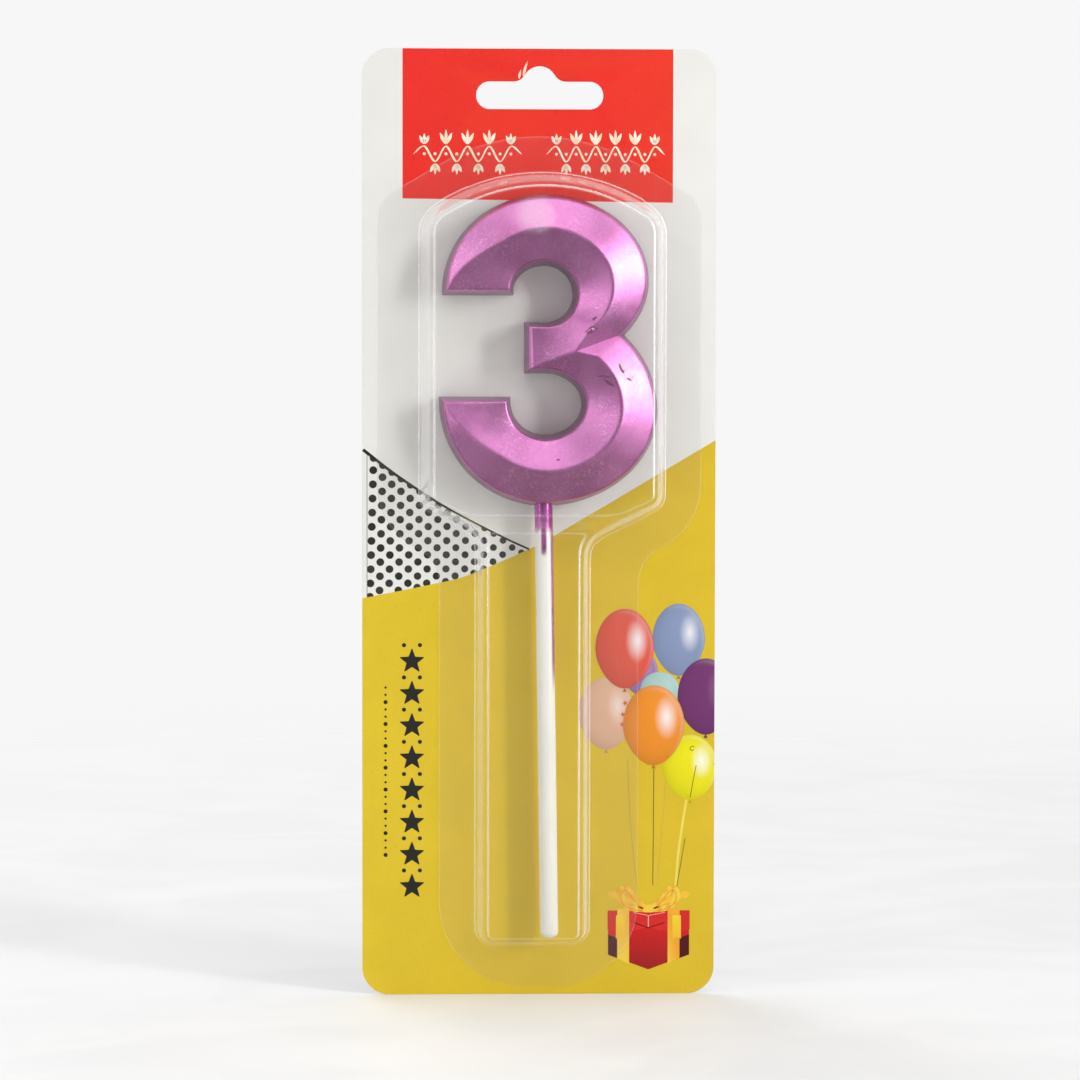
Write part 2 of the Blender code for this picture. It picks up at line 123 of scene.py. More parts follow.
# The clear sheet's looks: its mirror, painted highlight lines at its bends, and a
# painted highlight patch as (axis, middle, reach).
SHEET_IOR = 1.6
MIRROR_GAIN = 1.25
MIRROR_CAP = 0.28
BEND_PAINTED_HIGHLIGHT = (0.22, 0.28)
PAINTED_HIGHLIGHT_PATCH = (("X", -1.2, 4.6), ("Z", -24.2, 4.2))

# The wick's axis.
WICK = (wick_lo + wick_hi).xy / 2

# The camera's place and target, as metres across and deep and millimetres above
# the card's lower edge, its lens in millimetres and its roll in degrees.
CAMERA_AT = (-0.026, -0.75, 127.7)
CAMERA_TARGET = (0.0002, 0, 91.8)
CAMERA_LENS = 124.7
CAMERA_ROLL = 0.1


# Meshes ----------------------------------------------------------------------

def mesh_from(bm, name):
    """A mesh from a bmesh, which is freed."""
    mesh = bpy.data.meshes.new(name)
    bm.to_mesh(mesh)
    bm.free()
    return mesh


def link(name, bm, material, body, sharp=None):
    """An object in the scene, on its body when one is given."""
    mesh = mesh_from(bm, name)
    mesh.materials.append(material)
    mesh.shade_smooth()
    if sharp:
        mesh.set_sharp_from_angle(angle=math.radians(sharp))
    item = bpy.data.objects.new(name, mesh)
    bpy.context.scene.collection.objects.link(item)
    if body:
        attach(item, body)
    return item


def modify(item, kind, **settings):
    """Applies a modifier to an object's mesh."""
    modifier = item.modifiers.new(kind, kind)
    for key, value in settings.items():
        setattr(modifier, key, value)
    graph = bpy.context.evaluated_depsgraph_get()
    mesh = bpy.data.meshes.new_from_object(item.evaluated_get(graph))
    item.modifiers.clear()
    item.data = mesh


def add_vert(bm, x, y, z):
    """A vertex at a place in millimetres."""
    return bm.verts.new((x * MM, y * MM, z * MM))


def face_out(bm):
    """Turns a closed shape's faces outwards."""
    bmesh.ops.recalc_face_normals(bm, faces=bm.faces)


def join_rings(bm, rings):
    """Faces between closed rings of as many vertices each."""
    for low, high in zip(rings, rings[1:]):
        for i in range(len(low)):
            bm.faces.new((low[i - 1], low[i], high[i], high[i - 1]))


def capped_tube(bm, rings):
    """A closed tube of rings."""
    join_rings(bm, rings)
    bm.faces.new(rings[0])
    bm.faces.new(rings[-1])


def level_ring(bm, x, y, z, radius, sides):
    """A level ring of vertices round an upright line, in millimetres."""
    return [add_vert(bm, x + radius * math.cos(math.tau * s / sides),
                     y + radius * math.sin(math.tau * s / sides), z) for s in range(sides)]


def fillet(before, corner, after, radius, steps):
    """Points of the arc that rounds a corner."""
    into = (before - corner).normalized()
    out = (after - corner).normalized()
    half = into.angle(out) / 2
    centre = corner + (into + out).normalized() * (radius / math.sin(half))
    start = corner + into * (radius / math.tan(half)) - centre
    end = corner + out * (radius / math.tan(half)) - centre
    turn = math.atan2(start.cross(end), start.dot(end))
    points = []
    for i in range(steps + 1):
        c, s = math.cos(turn * i / steps), math.sin(turn * i / steps)
        points.append(centre + Vector((start.x * c - start.y * s, start.x * s + start.y * c)))
    return points


def rounded(corners, radii, steps=12):
    """A closed outline with its corners rounded."""
    corners = [Vector(c) for c in corners]
    points = []
    for i, corner in enumerate(corners):
        after = corners[(i + 1) % len(corners)]
        if radii[i] > 0:
            points += fillet(corners[i - 1], corner, after, radii[i], steps)
        else:
            points.append(corner)
    return points


def segment_distance(px, pz, outline):
    """Distance from points to a closed outline, and which of them are inside."""
    a = np.array([[p[0], p[1]] for p in outline])
    b = np.roll(a, -1, axis=0)
    d = b - a
    best = np.full(px.shape, 1e9)
    crossings = np.zeros(px.shape, int)
    for (ax, az), (_, bz), (dx, dz) in zip(a, b, d):
        length = dx * dx + dz * dz
        if length < 1e-12:
            continue
        t = np.clip(((px - ax) * dx + (pz - az) * dz) / length, 0, 1)
        best = np.minimum(best, np.hypot(px - ax - t * dx, pz - az - t * dz))
        if az != bz:
            hit = ((az > pz) != (bz > pz)) & (px < ax + (pz - az) * dx / (bz - az))
            crossings += hit
    return best, crossings % 2 == 1


def signed_distance(px, pz, outline):
    """Distance in from an outline, negative outside it."""
    best, within = segment_distance(px, pz, outline)
    return np.where(within, best, -best)


def smooth_max(a, b, k):
    """The larger of two heights, blended over a difference of k."""
    k = np.maximum(k, 1e-6)
    h = np.maximum(k - np.abs(a - b), 0) / k
    return np.maximum(a, b) + h * h * k / 4


def smooth_min(a, b, k):
    return -smooth_max(-a, -b, k)


# Materials -------------------------------------------------------------------

class Nodes:
    """Short ways to add shader nodes to a tree."""

    def __init__(self, tree):
        self.tree = tree

    def node(self, kind, inputs=None, **settings):
        made = self.tree.nodes.new("ShaderNode" + kind)
        for key, value in settings.items():
            setattr(made, key, value)
        for key, value in (inputs or {}).items():
            self.feed(made.inputs[key], value)
        return made

    def feed(self, socket, value):
        if isinstance(value, bpy.types.NodeSocket):
            self.tree.links.new(value, socket)
        elif socket.type == "RGBA" and len(value) == 3:
            socket.default_value = (*value, 1)
        else:
            socket.default_value = value

    def calc(self, operation, *values):
        return self.node("Math", dict(enumerate(values)), operation=operation).outputs[0]

    def plus(self, a, b):
        return self.calc("ADD", a, b)

    def minus(self, a, b):
        return self.calc("SUBTRACT", a, b)

    def times(self, a, b):
        return self.calc("MULTIPLY", a, b)

    def ramp(self, value, low=0.3, high=0.7, to_low=0.0, to_high=1.0, smooth=True):
        """A value from one range to another; the first range starts as most of a noise's."""
        return self.node("MapRange", {"Value": value, "From Min": low, "From Max": high,
                                      "To Min": to_low, "To Max": to_high},
                         interpolation_type="SMOOTHSTEP" if smooth else "LINEAR").outputs[0]

    def blend(self, share, a, b):
        """A mix of two shader nodes."""
        return self.node("MixShader", {0: share, 1: a.outputs[0], 2: b.outputs[0]})

    def ray(self, kind):
        return self.node("LightPath").outputs[f"Is {kind} Ray"]


class Paint(Nodes):
    """A Principled material and the textures that it is made of."""

    def __init__(self, name, colour, roughness, metallic=0.0):
        self.material = bpy.data.materials.new(name)
        self.material.use_nodes = True
        super().__init__(self.material.node_tree)
        self.shader = self.tree.nodes["Principled BSDF"]
        self.set(Base_Color=colour, Roughness=roughness, Metallic=metallic)
        self.place = self.node("TexCoord").outputs["Object"]

    def set(self, **values):
        for key, value in values.items():
            self.feed(self.shader.inputs[key.replace("_", " ")], value)

    def finish(self, shader):
        """Gives the material another shader node as its surface."""
        self.tree.links.new(shader.outputs[0], self.tree.nodes["Material Output"].inputs[0])

    def noise(self, size, detail=3.0, stretch=(1, 1, 1), rough=0.5, distortion=0.0):
        """Noise with features about size millimetres across, 0 to 1."""
        mapped = self.node("Mapping", {"Vector": self.place, "Scale": stretch})
        return self.node("TexNoise", {"Vector": mapped.outputs[0], "Scale": 1 / (size * MM),
                                      "Detail": detail, "Roughness": rough,
                                      "Distortion": distortion}).outputs["Fac"]

    def cells(self, size, output="Distance"):
        return self.node("TexVoronoi", {"Vector": self.place, "Scale": 1 / (size * MM)},
                         feature="F1").outputs[output]

    def mix(self, share, a, b):
        return self.node("Mix", {0: share, 6: a, 7: b}, data_type="RGBA").outputs[2]

    def shade(self, colour, factor):
        """A colour times a plain factor."""
        return self.node("VectorMath", {0: colour, 3: factor}, operation="SCALE").outputs[0]

    def bump(self, height, depth, strength=1.0, normal=None):
        """Bump from a 0 to 1 height that is depth millimetres deep."""
        inputs = {"Height": height, "Distance": depth * MM, "Strength": strength}
        if normal:
            inputs["Normal"] = normal
        return self.node("Bump", inputs).outputs[0]

    def split(self, vector=None):
        return self.node("SeparateXYZ", {0: vector or self.place}).outputs

    def normals(self):
        return self.split(self.node("NewGeometry").outputs["Normal"])


def board_material():
    """Coated board: smooth front, raw layered edge, greyer fibrous back."""
    p = Paint("printed_board", (0.76, 0.755, 0.72), 0.42)
    normal = p.normals()
    fibre = p.noise(0.35, 5, (1, 1, 0.35), 0.65)
    cloud = p.noise(14, 2)
    back = p.ramp(normal["Y"], 0.4, 0.6)
    facing = p.plus(back, p.ramp(normal["Y"], -0.4, -0.6))
    fleck = p.ramp(p.noise(0.8, 4, (1, 1, 2.5), 0.7), 0.62, 0.75)
    face_colour = p.mix(p.ramp(cloud), (0.775, 0.768, 0.728), (0.745, 0.738, 0.70))
    raw = p.mix(p.ramp(fibre, 0.35, 0.65), (0.60, 0.585, 0.545), (0.69, 0.675, 0.635))
    back_colour = p.mix(p.times(fleck, 0.35), raw, (0.42, 0.39, 0.34))
    layers = p.noise(0.11, 1, (0.02, 1, 0.02))
    edge_colour = p.mix(p.ramp(layers, 0.4, 0.6), (0.80, 0.785, 0.74), (0.62, 0.60, 0.55))
    colour = p.mix(back, face_colour, back_colour)
    p.set(Base_Color=p.mix(facing, edge_colour, colour),
          Roughness=p.ramp(p.plus(back, p.times(fibre, 0.15)), 0, 1, 0.36, 0.85),
          Normal=p.bump(fibre, 0.012))
    return p.material


def ink_material():
    """Printing ink: the colour of each face from the mesh, over the board's tooth."""
    p = Paint("printing_ink", (0.6, 0.5, 0.2), 0.34)
    colour = p.node("VertexColor", layer_name="ink").outputs["Color"]
    mottle = p.noise(0.5, 4, rough=0.6)
    cloud = p.noise(11, 3)
    pinhole = p.ramp(p.cells(1.7), 0.035, 0.02)
    rare = p.ramp(p.noise(5, 1), 0.6, 0.66)
    tone = p.plus(p.ramp(mottle, 0.25, 0.75, 0.965, 1.02, False),
                  p.ramp(cloud, 0.3, 0.7, -0.025, 0.025))
    shown = p.mix(p.times(pinhole, rare), p.shade(colour, tone), (0.8, 0.78, 0.72))
    p.set(Base_Color=shown, Roughness=p.ramp(mottle, 0.3, 0.7, 0.27, 0.42),
          Normal=p.bump(p.noise(0.3, 3), 0.008), Specular_IOR_Level=0.3)
    return p.material


def clear_material():
    """Clear thermoformed sheet: lets light straight through, mirrors by Fresnel."""
    p = Paint("clear_sheet", (0.9, 0.92, 0.92), 0.05)
    p.tree.nodes.remove(p.shader)
    wave = p.noise(6, 2)
    scuff = p.noise(1.2, 5, (1, 1, 0.2), 0.7)
    normal = p.bump(wave, 0.05, 1.0, p.bump(scuff, 0.002))

    # Only the face towards the light mirrors, so no ray is caught inside the sheet.
    fresnel = p.node("Fresnel", {"IOR": SHEET_IOR, "Normal": normal}).outputs[0]
    outside = p.minus(1.0, p.node("NewGeometry").outputs["Backfacing"])
    fresnel = p.times(p.calc("MINIMUM", p.times(fresnel, MIRROR_GAIN), MIRROR_CAP), outside)
    mirror = p.node("BsdfGlossy", {"Color": (1, 1, 1), "Normal": normal,
                                   "Roughness": p.ramp(scuff, 0.4, 0.8, 0.1, 0.18)})
    through = p.node("BsdfTransparent", {"Color": (0.994, 0.995, 0.992)})
    haze_and_highlight_shader = p.node("BsdfDiffuse", {"Color": (0.93, 0.93, 0.93)})

    # Whitening: at grazing angles, partly the sheet's own haze and partly painted sheen; a painted
    # highlight patch over the numeral's crown; haze in scuffs; painted highlight lines in bends.
    facing = p.node("LayerWeight", {"Blend": 0.5}).outputs["Facing"]
    axes = p.split()
    highlight_patch = []
    for axis, middle, reach in PAINTED_HIGHLIGHT_PATCH:
        off = p.calc("DIVIDE", p.minus(axes[axis], middle * MM), reach * MM)
        highlight_patch.append(p.times(off, off))
    highlight_patch = p.ramp(p.plus(p.plus(*highlight_patch), p.noise(5, 3, (1, 1, 0.5))), 1.6, 0.3)
    haze_and_highlight = p.plus(p.ramp(facing, 0.5, 0.97, 0.0, 0.26), p.times(highlight_patch, 0.15))
    haze_and_highlight = p.plus(haze_and_highlight, p.ramp(scuff, 0.5, 0.8, 0.008, 0.03))
    tilt = p.normals()
    flat = p.calc("ABSOLUTE", tilt["Y"])
    # Painted highlight lines where the sheet bends, weaker where a bend faces down, away from the
    # lamps.
    bend = p.times(p.ramp(flat, 0.975, 0.94), p.ramp(flat, 0.84, 0.9))
    bend = p.times(bend, p.ramp(scuff, 0.2, 0.8, *BEND_PAINTED_HIGHLIGHT))
    bend = p.times(bend, p.ramp(tilt["Z"], -0.1, -0.3, 1.0, 0.3))
    inner = p.blend(p.plus(haze_and_highlight, bend), through, haze_and_highlight_shader)
    both = p.blend(fresnel, inner, mirror)

    # A lamp's light passes with a plain tint that darkens where the sheet is edge on.
    tint = p.mix(p.ramp(facing, 0.7, 0.98), (0.992, 0.992, 0.99), (0.80, 0.81, 0.81))
    p.finish(p.blend(p.ray("Shadow"), both, p.node("BsdfTransparent", {"Color": tint})))
    return p.material


def metal_material():
    """Metallic purple coating on wax, thinner and redder along the rims, with painted glints on its
    flakes and painted shade on its side walls.
    """
    p = Paint("metallic_coating", (0.66, 0.2, 0.5), 0.3, 0.95)
    rim = p.node("Attribute", attribute_name="rim").outputs["Fac"]
    cloud = p.noise(7, 3)
    grain = p.noise(0.16, 3, rough=0.7)
    # Painted glints: the coating's metal flakes, their cells painted lighter, most in noise
    # patches.
    sparkle = p.split(p.cells(0.26, output="Color"))["X"]
    patch = p.ramp(p.noise(9, 3), 0.45, 0.75)
    tone = p.mix(p.ramp(cloud), (0.65, 0.205, 0.52), (0.77, 0.265, 0.63))
    bright = p.times(p.ramp(sparkle, 0.7, 1.0), p.plus(patch, 0.35))
    tone = p.mix(p.times(bright, 0.42), tone, (0.98, 0.70, 0.94))
    worn = p.times(p.ramp(rim, 0.45, 0.05), p.ramp(p.noise(2.2, 4), 0.42, 0.62))
    tone = p.mix(p.times(worn, 0.75), tone, (0.50, 0.10, 0.16))
    # Painted shade: the drafted side walls, marked 2, darker and greyer.
    tone = p.mix(p.ramp(rim, 1.0, 1.9), tone, (0.36, 0.13, 0.30))
    normal = p.bump(grain, 0.012, 0.9, p.bump(p.noise(2.4, 3), 0.05))
    normal = p.bump(sparkle, 0.006, 0.8, normal)
    p.set(Base_Color=tone, Normal=normal, Coat_Weight=0.12, Coat_Roughness=0.25,
          Roughness=p.ramp(p.plus(cloud, p.times(grain, 0.5)), 0.5, 1.0, 0.33, 0.43))
    return p.material


def stick_material(foot, middle_x, lean):
    """White plastic with the coating's overspray under the numeral, and a purple strip down its
    right side.
    """
    p = Paint("stick_plastic", (0.83, 0.82, 0.78), 0.32)
    axes = p.split()
    below = p.minus(foot * MM, axes["Z"])
    centre = p.plus(p.times(below, lean), middle_x * MM)
    across = p.minus(axes["X"], centre)
    ragged = p.times(p.noise(0.7, 4, (1, 1, 0.3)), 2.4 * MM)
    reach = p.minus(below, ragged)
    solid = p.ramp(reach, 5.2 * MM, 3.4 * MM)
    aside = p.calc("ABSOLUTE", p.plus(across, 0.1 * MM))
    streak = p.times(p.ramp(reach, 10.0 * MM, 8.0 * MM), p.ramp(aside, 0.75 * MM, 0.3 * MM))
    # A purple strip down the stick's right side, 30 to 38 mm below the numeral's foot.
    right_strip = p.times(p.ramp(reach, 38 * MM, 30 * MM), p.ramp(across, 1.15 * MM, 1.4 * MM))
    purple_share = p.calc("MAXIMUM", solid, p.times(streak, 0.95))
    purple_share = p.calc("MAXIMUM", purple_share, p.times(right_strip, 0.8))
    cloud = p.noise(9, 3, (1, 1, 0.3))
    white = p.mix(p.ramp(cloud), (0.85, 0.835, 0.79), (0.80, 0.785, 0.735))
    purple = p.mix(p.ramp(p.noise(1.5, 3, (1, 1, 0.2))),
                   (0.62, 0.16, 0.52), (0.34, 0.05, 0.27))
    p.set(Base_Color=p.mix(purple_share, white, purple), Metallic=p.times(purple_share, 0.85),
          Roughness=p.ramp(p.noise(0.6, 4, (1, 1, 0.08)), 0.3, 0.7, 0.24, 0.38),
          Normal=p.bump(p.noise(0.5, 3, (1, 1, 0.05)), 0.01), Subsurface_Weight=0.08,
          Subsurface_Radius=(0.0012, 0.001, 0.0008))
    return p.material


def cotton_material():
    p = Paint("wick_cotton", (0.78, 0.73, 0.62), 0.9)
    fibre = p.noise(0.09, 4, (1, 1, 0.15), 0.7)
    p.set(Base_Color=p.mix(fibre, (0.62, 0.56, 0.45), (0.86, 0.82, 0.72)),
          Normal=p.bump(fibre, 0.03), Sheen_Weight=0.3)
    return p.material


def chip_material(name, dark, light):
    p = Paint(name, light, 0.55)
    grain = p.noise(0.3, 4)
    p.set(Base_Color=p.mix(grain, dark, light), Normal=p.bump(grain, 0.03),
          Roughness=p.ramp(grain, 0.3, 0.7, 0.4, 0.7))
    return p.material


board = board_material()
ink = ink_material()
clear = clear_material()
metal = metal_material()


# The card --------------------------------------------------------------------

def slot_outline():
    """The hang slot: a long slot with a hump over its middle."""
    rise, half, end = 2.75, 12.7, 2.7
    hump_rise, hump_radius, hump_foot, hump_slope = 3.05, 3.4, 2.6, math.radians(55)
    peak = hump_rise + hump_radius * (1 / math.cos(hump_slope) - 1)
    hump = peak / math.tan(hump_slope)
    corners = [(0, rise + peak), (hump, rise), (half, rise), (half, -rise), (-half, -rise),
               (-half, rise), (-hump, rise)]
    return rounded(corners, [hump_radius, hump_foot, end, end, end, end, hump_foot])


def flat_piece(bm, outline, y, holes=()):
    """Fills an outline in a plane facing the viewer, and returns its faces."""
    before = set(bm.faces)
    edges = []
    for loop in [outline] + list(holes):
        ring = [add_vert(bm, p[0], y, p[1]) for p in loop]
        edges += [bm.edges.new((ring[i - 1], ring[i])) for i in range(len(ring))]
    bmesh.ops.triangle_fill(bm, use_beauty=True, edges=edges, normal=(0, -1, 0))
    return [f for f in bm.faces if f not in before]


def make_card():
    """The board, with its slot and softened edges."""
    half = card_hi.x
    outline = rounded([(-half, card_hi.z), (half, card_hi.z), (half, card_lo.z),
                       (-half, card_lo.z)], [CARD_CORNER] * 4, 20)
    bm = bmesh.new()
    flat_piece(bm, outline, card_hi.y, [slot_outline()])
    raised = bmesh.ops.extrude_face_region(bm, geom=bm.faces[:], use_keep_orig=True)
    moved = [v for v in raised["geom"] if isinstance(v, bmesh.types.BMVert)]
    bmesh.ops.translate(bm, verts=moved, vec=(0, (card_lo.y + INK - card_hi.y) * MM, 0))
    face_out(bm)
    bmesh.ops.dissolve_limit(bm, angle_limit=0.01, verts=bm.verts[:], edges=bm.edges[:],
                             delimit={"NORMAL"})
    item = link("card_board", bm, board, None, 40)
    modify(item, "BEVEL", width=CARD_BEVEL * MM, segments=2, limit_method="ANGLE",
           angle_limit=math.radians(50), harden_normals=True)
    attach(item, "card")
    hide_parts("backing_card")


class Print:
    """One printed piece: coloured shapes in thin layers on the card's face.

    Points are (across, up from the card's lower edge), in millimetres.
    """

    def __init__(self, name):
        self.name = name
        self.bm = bmesh.new()
        self.ink = self.bm.loops.layers.float_color.new("ink")

    def paint(self, faces, colour):
        for loop in (loop for face in faces for loop in face.loops):
            rgb = colour
            if callable(colour):
                rgb = colour(loop.vert.co.x / MM, loop.vert.co.z / MM - card_lo.z)
            loop[self.ink] = (*rgb, 1)

    def y(self, layer):
        return card_lo.y + INK - INK_LAYER * layer

    def vert(self, x, z, layer):
        return add_vert(self.bm, x, self.y(layer), z + card_lo.z)

    def shape(self, outline, layer, colour, holes=()):
        """A filled outline; the holes' points are the frame's."""
        lifted = [(p[0], p[1] + card_lo.z) for p in outline]
        self.paint(flat_piece(self.bm, lifted, self.y(layer), holes), colour)

    def stroke(self, points, widths, layer, colour):
        """A ribbon along a line, of one width or of a width at each point."""
        points = [Vector(p) for p in points]
        if not isinstance(widths, list):
            widths = [widths] * len(points)
        pairs = []
        for i, point in enumerate(points):
            ahead = points[min(i + 1, len(points) - 1)] - points[max(i - 1, 0)]
            side = Vector((-ahead.y, ahead.x)).normalized() * widths[i] / 2
            pairs.append([self.vert(p.x, p.y, layer) for p in (point + side, point - side)])
        self.paint([self.bm.faces.new((a, b, d, c))
                    for (a, b), (c, d) in zip(pairs, pairs[1:])], colour)

    def disc(self, centre, radii, layer, colour, rings=1, sides=16, shape=None, clip=None):
        """A round patch of rings, for shading that changes across it."""
        rows = []
        middle = self.vert(*centre, layer)
        for r in range(1, rings + 1):
            row = []
            for s in range(sides):
                angle = math.tau * s / sides
                across, up = math.cos(angle), math.sin(angle)
                if shape:
                    across, up = shape(across, up)
                x = centre[0] + radii[0] * across * r / rings
                z = centre[1] + radii[1] * up * r / rings
                if clip:
                    x, z = clip(x, z)
                row.append(self.vert(x, z, layer))
            rows.append(row)
        faces = []
        for s in range(sides):
            faces.append(self.bm.faces.new((middle, rows[0][s], rows[0][s - 1])))
            for low, high in zip(rows, rows[1:]):
                faces.append(self.bm.faces.new((low[s - 1], low[s], high[s], high[s - 1])))
        self.paint(faces, colour)

    def done(self):
        bmesh.ops.dissolve_degenerate(self.bm, dist=1e-7, edges=self.bm.edges[:])
        for face in self.bm.faces:
            face.normal_update()
            if face.normal.y > 0:
                face.normal_flip()
        link(self.name, self.bm, ink, "card")


def along(points, x):
    """Height of a broken line at a place across."""
    return float(np.interp(x, [p[0] for p in points], [p[1] for p in points]))


def curve(points, steps=10):
    """A smooth line through points."""
    points = [Vector(p) for p in points]
    ends = [2 * points[0] - points[1]] + points + [2 * points[-1] - points[-2]]
    out = []
    for i in range(1, len(ends) - 2):
        p0, p1, p2, p3 = ends[i - 1:i + 3]
        for s in range(steps):
            t = s / steps
            out.append(0.5 * ((2 * p1) + (p2 - p0) * t + (2 * p0 - 5 * p1 + 4 * p2 - p3) * t ** 2
                              + (3 * p1 - p0 - 3 * p2 + p3) * t ** 3))
    out.append(points[-1])
    return out


# The dotted wedge's edges, and the inks.
WEDGE_TOP = curve([(-35.3, 109.9), (-28.2, 104.5), (-18.4, 98.2), (-7.7, 92.6), (-2.0, 89.95)])
WEDGE_FOOT = curve([(-35.3, 80.1), (-20.4, 83.1), (-14.8, 84.5), (-7.7, 87.4), (-2.0, 89.95)])
YELLOW = (0.66, 0.462, 0.022)
# Painted light: the yellow field is lighter towards the card's left edge.
YELLOW_LEFT = (0.70, 0.505, 0.024)
BLACK = (0.022, 0.022, 0.018)


def star(centre, even, odd, turn=0.0):
    """A star's ten corners, at two distances from its centre by turns."""
    points = []
    for k in range(10):
        reach, angle = odd if k % 2 else even, turn + math.tau * k / 10
        points.append((centre[0] + reach * math.cos(angle), centre[1] + reach * math.sin(angle)))
    return points


def print_field():
    """The header, and the yellow field below the dotted wedge."""
    field = Print("print_field")
    bleed = 0.04
    half, top = card_hi.x - bleed, card_hi.z - card_lo.z - bleed
    header = [(-27.4, top), (26.7, top), (26.7, 159.4), (-27.4, 160.1)]
    field.shape(header, 1, lambda x, z: (0.77, 0.032 + 0.006 * math.sin(x), 0.02),
                [slot_outline()])
    corner = CARD_CORNER - bleed
    foot = fillet(Vector((half, 60)), Vector((half, bleed)), Vector((0, bleed)), corner, 16)
    foot += fillet(Vector((0, bleed)), Vector((-half, bleed)), Vector((-half, 60)), corner, 16)
    outline = [(half, 111.85)] + foot + [(-half, along(WEDGE_FOOT, -half))]
    outline += [p for p in WEDGE_FOOT if p[0] > -half] + [(0.2, 91.0), (2.3, 92.2)]

    # Lighter towards the left edge: painted light.
    def yellow(x, z):
        share = max(0.0, min(1.0, (x + 35) / 45))
        return tuple(a + (b - a) * share for a, b in zip(YELLOW_LEFT, YELLOW))

    field.shape(outline, 1, yellow)
    field.stroke([(-34.5, 80.3), (-34.5, 109.2)], 0.12, 2, (0.2, 0.2, 0.18))
    line = [p for p in WEDGE_TOP if p[0] > -half]
    field.stroke(line, [0.62 - 0.24 * min(1, (p[0] + 35) / 20) for p in line], 3, BLACK)
    field.done()


def print_dots():
    """The wedge's dots, in staggered columns cut off by its edges."""
    dots = Print("print_dots")
    left, top, column_pitch, row_pitch = -33.25, 105.8, 1.885, 2.84
    tilt = math.radians(1.5)

    def clip(x, z):
        x = max(x, -34.45)
        return x, min(max(z, along(WEDGE_FOOT, x)), along(WEDGE_TOP, x))

    for column in range(18):
        for row in range(-2, 14):
            across = left + column_pitch * column
            down = row_pitch * (row + 0.5 * (column % 2))
            x = across - down * math.sin(tilt)
            z = top - down + (across - left) * 0.004
            high, low = along(WEDGE_TOP, x), along(WEDGE_FOOT, x)
            radius = 0.79 - 0.008 * column
            if x > -2.6 or z - radius * 0.8 > high or z + radius * 0.8 < low:
                continue
            tone = 0.026 + 0.016 * ((column * 7 + row * 5) % 4) / 3
            dots.disc((max(x, -34.4), min(max(z, low), high)), (radius, radius), 2,
                      (tone, tone, tone * 0.85), 1, 28, None, clip)
    dots.done()


def spiral(centre, size, start, turns):
    """A curl that winds in to its centre."""
    points = []
    count = int(26 * turns)
    for i in range(count + 1):
        t = i / count
        radius = size * (1 - t) ** 0.8 + 0.12
        angle = start + math.tau * turns * t
        points.append((centre[0] + radius * math.cos(angle), centre[1] + radius * math.sin(angle)))
    return points


def pen(points, thin, thick):
    """Pen widths along a line: thick on strokes that run down, thin on others."""
    widths = []
    for i in range(len(points)):
        ahead = Vector(points[min(i + 1, len(points) - 1)]) - Vector(points[max(i - 1, 0)])
        slope = abs(math.sin(math.atan2(ahead.y, ahead.x) - 0.35))
        end = min(1.0, i / 5, (len(points) - 1 - i) / 5)
        widths.append((thin + (thick - thin) * slope ** 2) * (0.35 + 0.65 * end))
    return widths


def print_flourish():
    """Two waved vines with leaves across the header, and a small flame by the slot."""
    flourish = Print("print_flourish")
    middle, swing, bend, parts = 169.0, 1.5, 0.62, 10

    def cream(x, z):
        lean = 0.5 + 0.5 * math.sin(2.2 * x + 1.4 * z)
        return (0.93, 0.66 + 0.2 * lean, 0.42 + 0.32 * lean)

    for start, end, waves in ((-25.2, -3.6, 5), (1.4, 25.0, 6)):
        half = (end - start) / waves / 2
        last = 2 * waves
        vine = curve([(start + half * i, middle + (swing if i % 2 else -swing) * (0 < i < last))
                      for i in range(last + 1)], 12)
        flourish.stroke(vine, pen(vine, 0.22, 0.42), 3, cream)
        for i in range(1, last):
            side = 1 if i % 2 else -1
            x, z = start + half * i, middle + side * swing
            reach = 2.6 if i in (1, last - 1) or side < 0 else 3.3
            for lean in (-bend, 0.0, bend):
                tip = Vector((x + reach * math.sin(lean) * 0.62, z + side * reach * math.cos(lean)))
                foot = Vector((x + 0.25 * math.sin(lean), z + side * 0.45))
                leaf = [foot.lerp(tip, k / parts) for k in range(parts + 1)]
                flourish.stroke(leaf, [0.1 + (0.62 if lean else 0.5) * math.sin(math.pi * k / parts)
                                       for k in range(parts + 1)], 4, cream)
            flourish.disc((x, z - side * swing), (0.3, 0.3), 4, cream)
    for points, width in (([(-4.15, 184.0), (-4.0, 184.9), (-3.75, 185.8)], 0.42),
                          ([(-3.3, 184.5), (-2.95, 186.0), (-2.45, 187.4)], 0.5)):
        flame = curve(points, 8)
        widths = [0.06 + width * math.sin(math.pi * min(1, (k + 1) / len(flame)) ** 0.8)
                  for k in range(len(flame))]
        flourish.stroke(flame, widths, 3, (0.93, 0.62, 0.5))
    flourish.done()


def print_column():
    """A bold row of stars up the left side, with a fine row of dots beside it."""
    column = Print("print_column")
    middle = -25.5
    for i in range(8):
        foot = 19.4 + 6.5 * i
        points = star((middle, foot + 2.5), 2.75, 1.15, math.pi / 2)
        column.shape(rounded(points, [0.12, 0.2] * 5, 4), 2, BLACK)
        for side in (-1, 1):
            column.disc((middle + side * 1.6, foot + 5.75), (0.42, 0.42), 2, BLACK, 1, 20)
    for i in range(24):
        reach = 0.42 if i % 3 == 0 else 0.24
        column.disc((-30.8, 27.8 + 1.47 * i + 0.5), (reach, reach), 2, BLACK, 1, 18)
    column.done()


def egg(across, up):
    """A balloon's outline from a circle's: round above, drawn in below."""
    return across * (1 - 0.16 * max(0.0, -up) ** 1.5), up


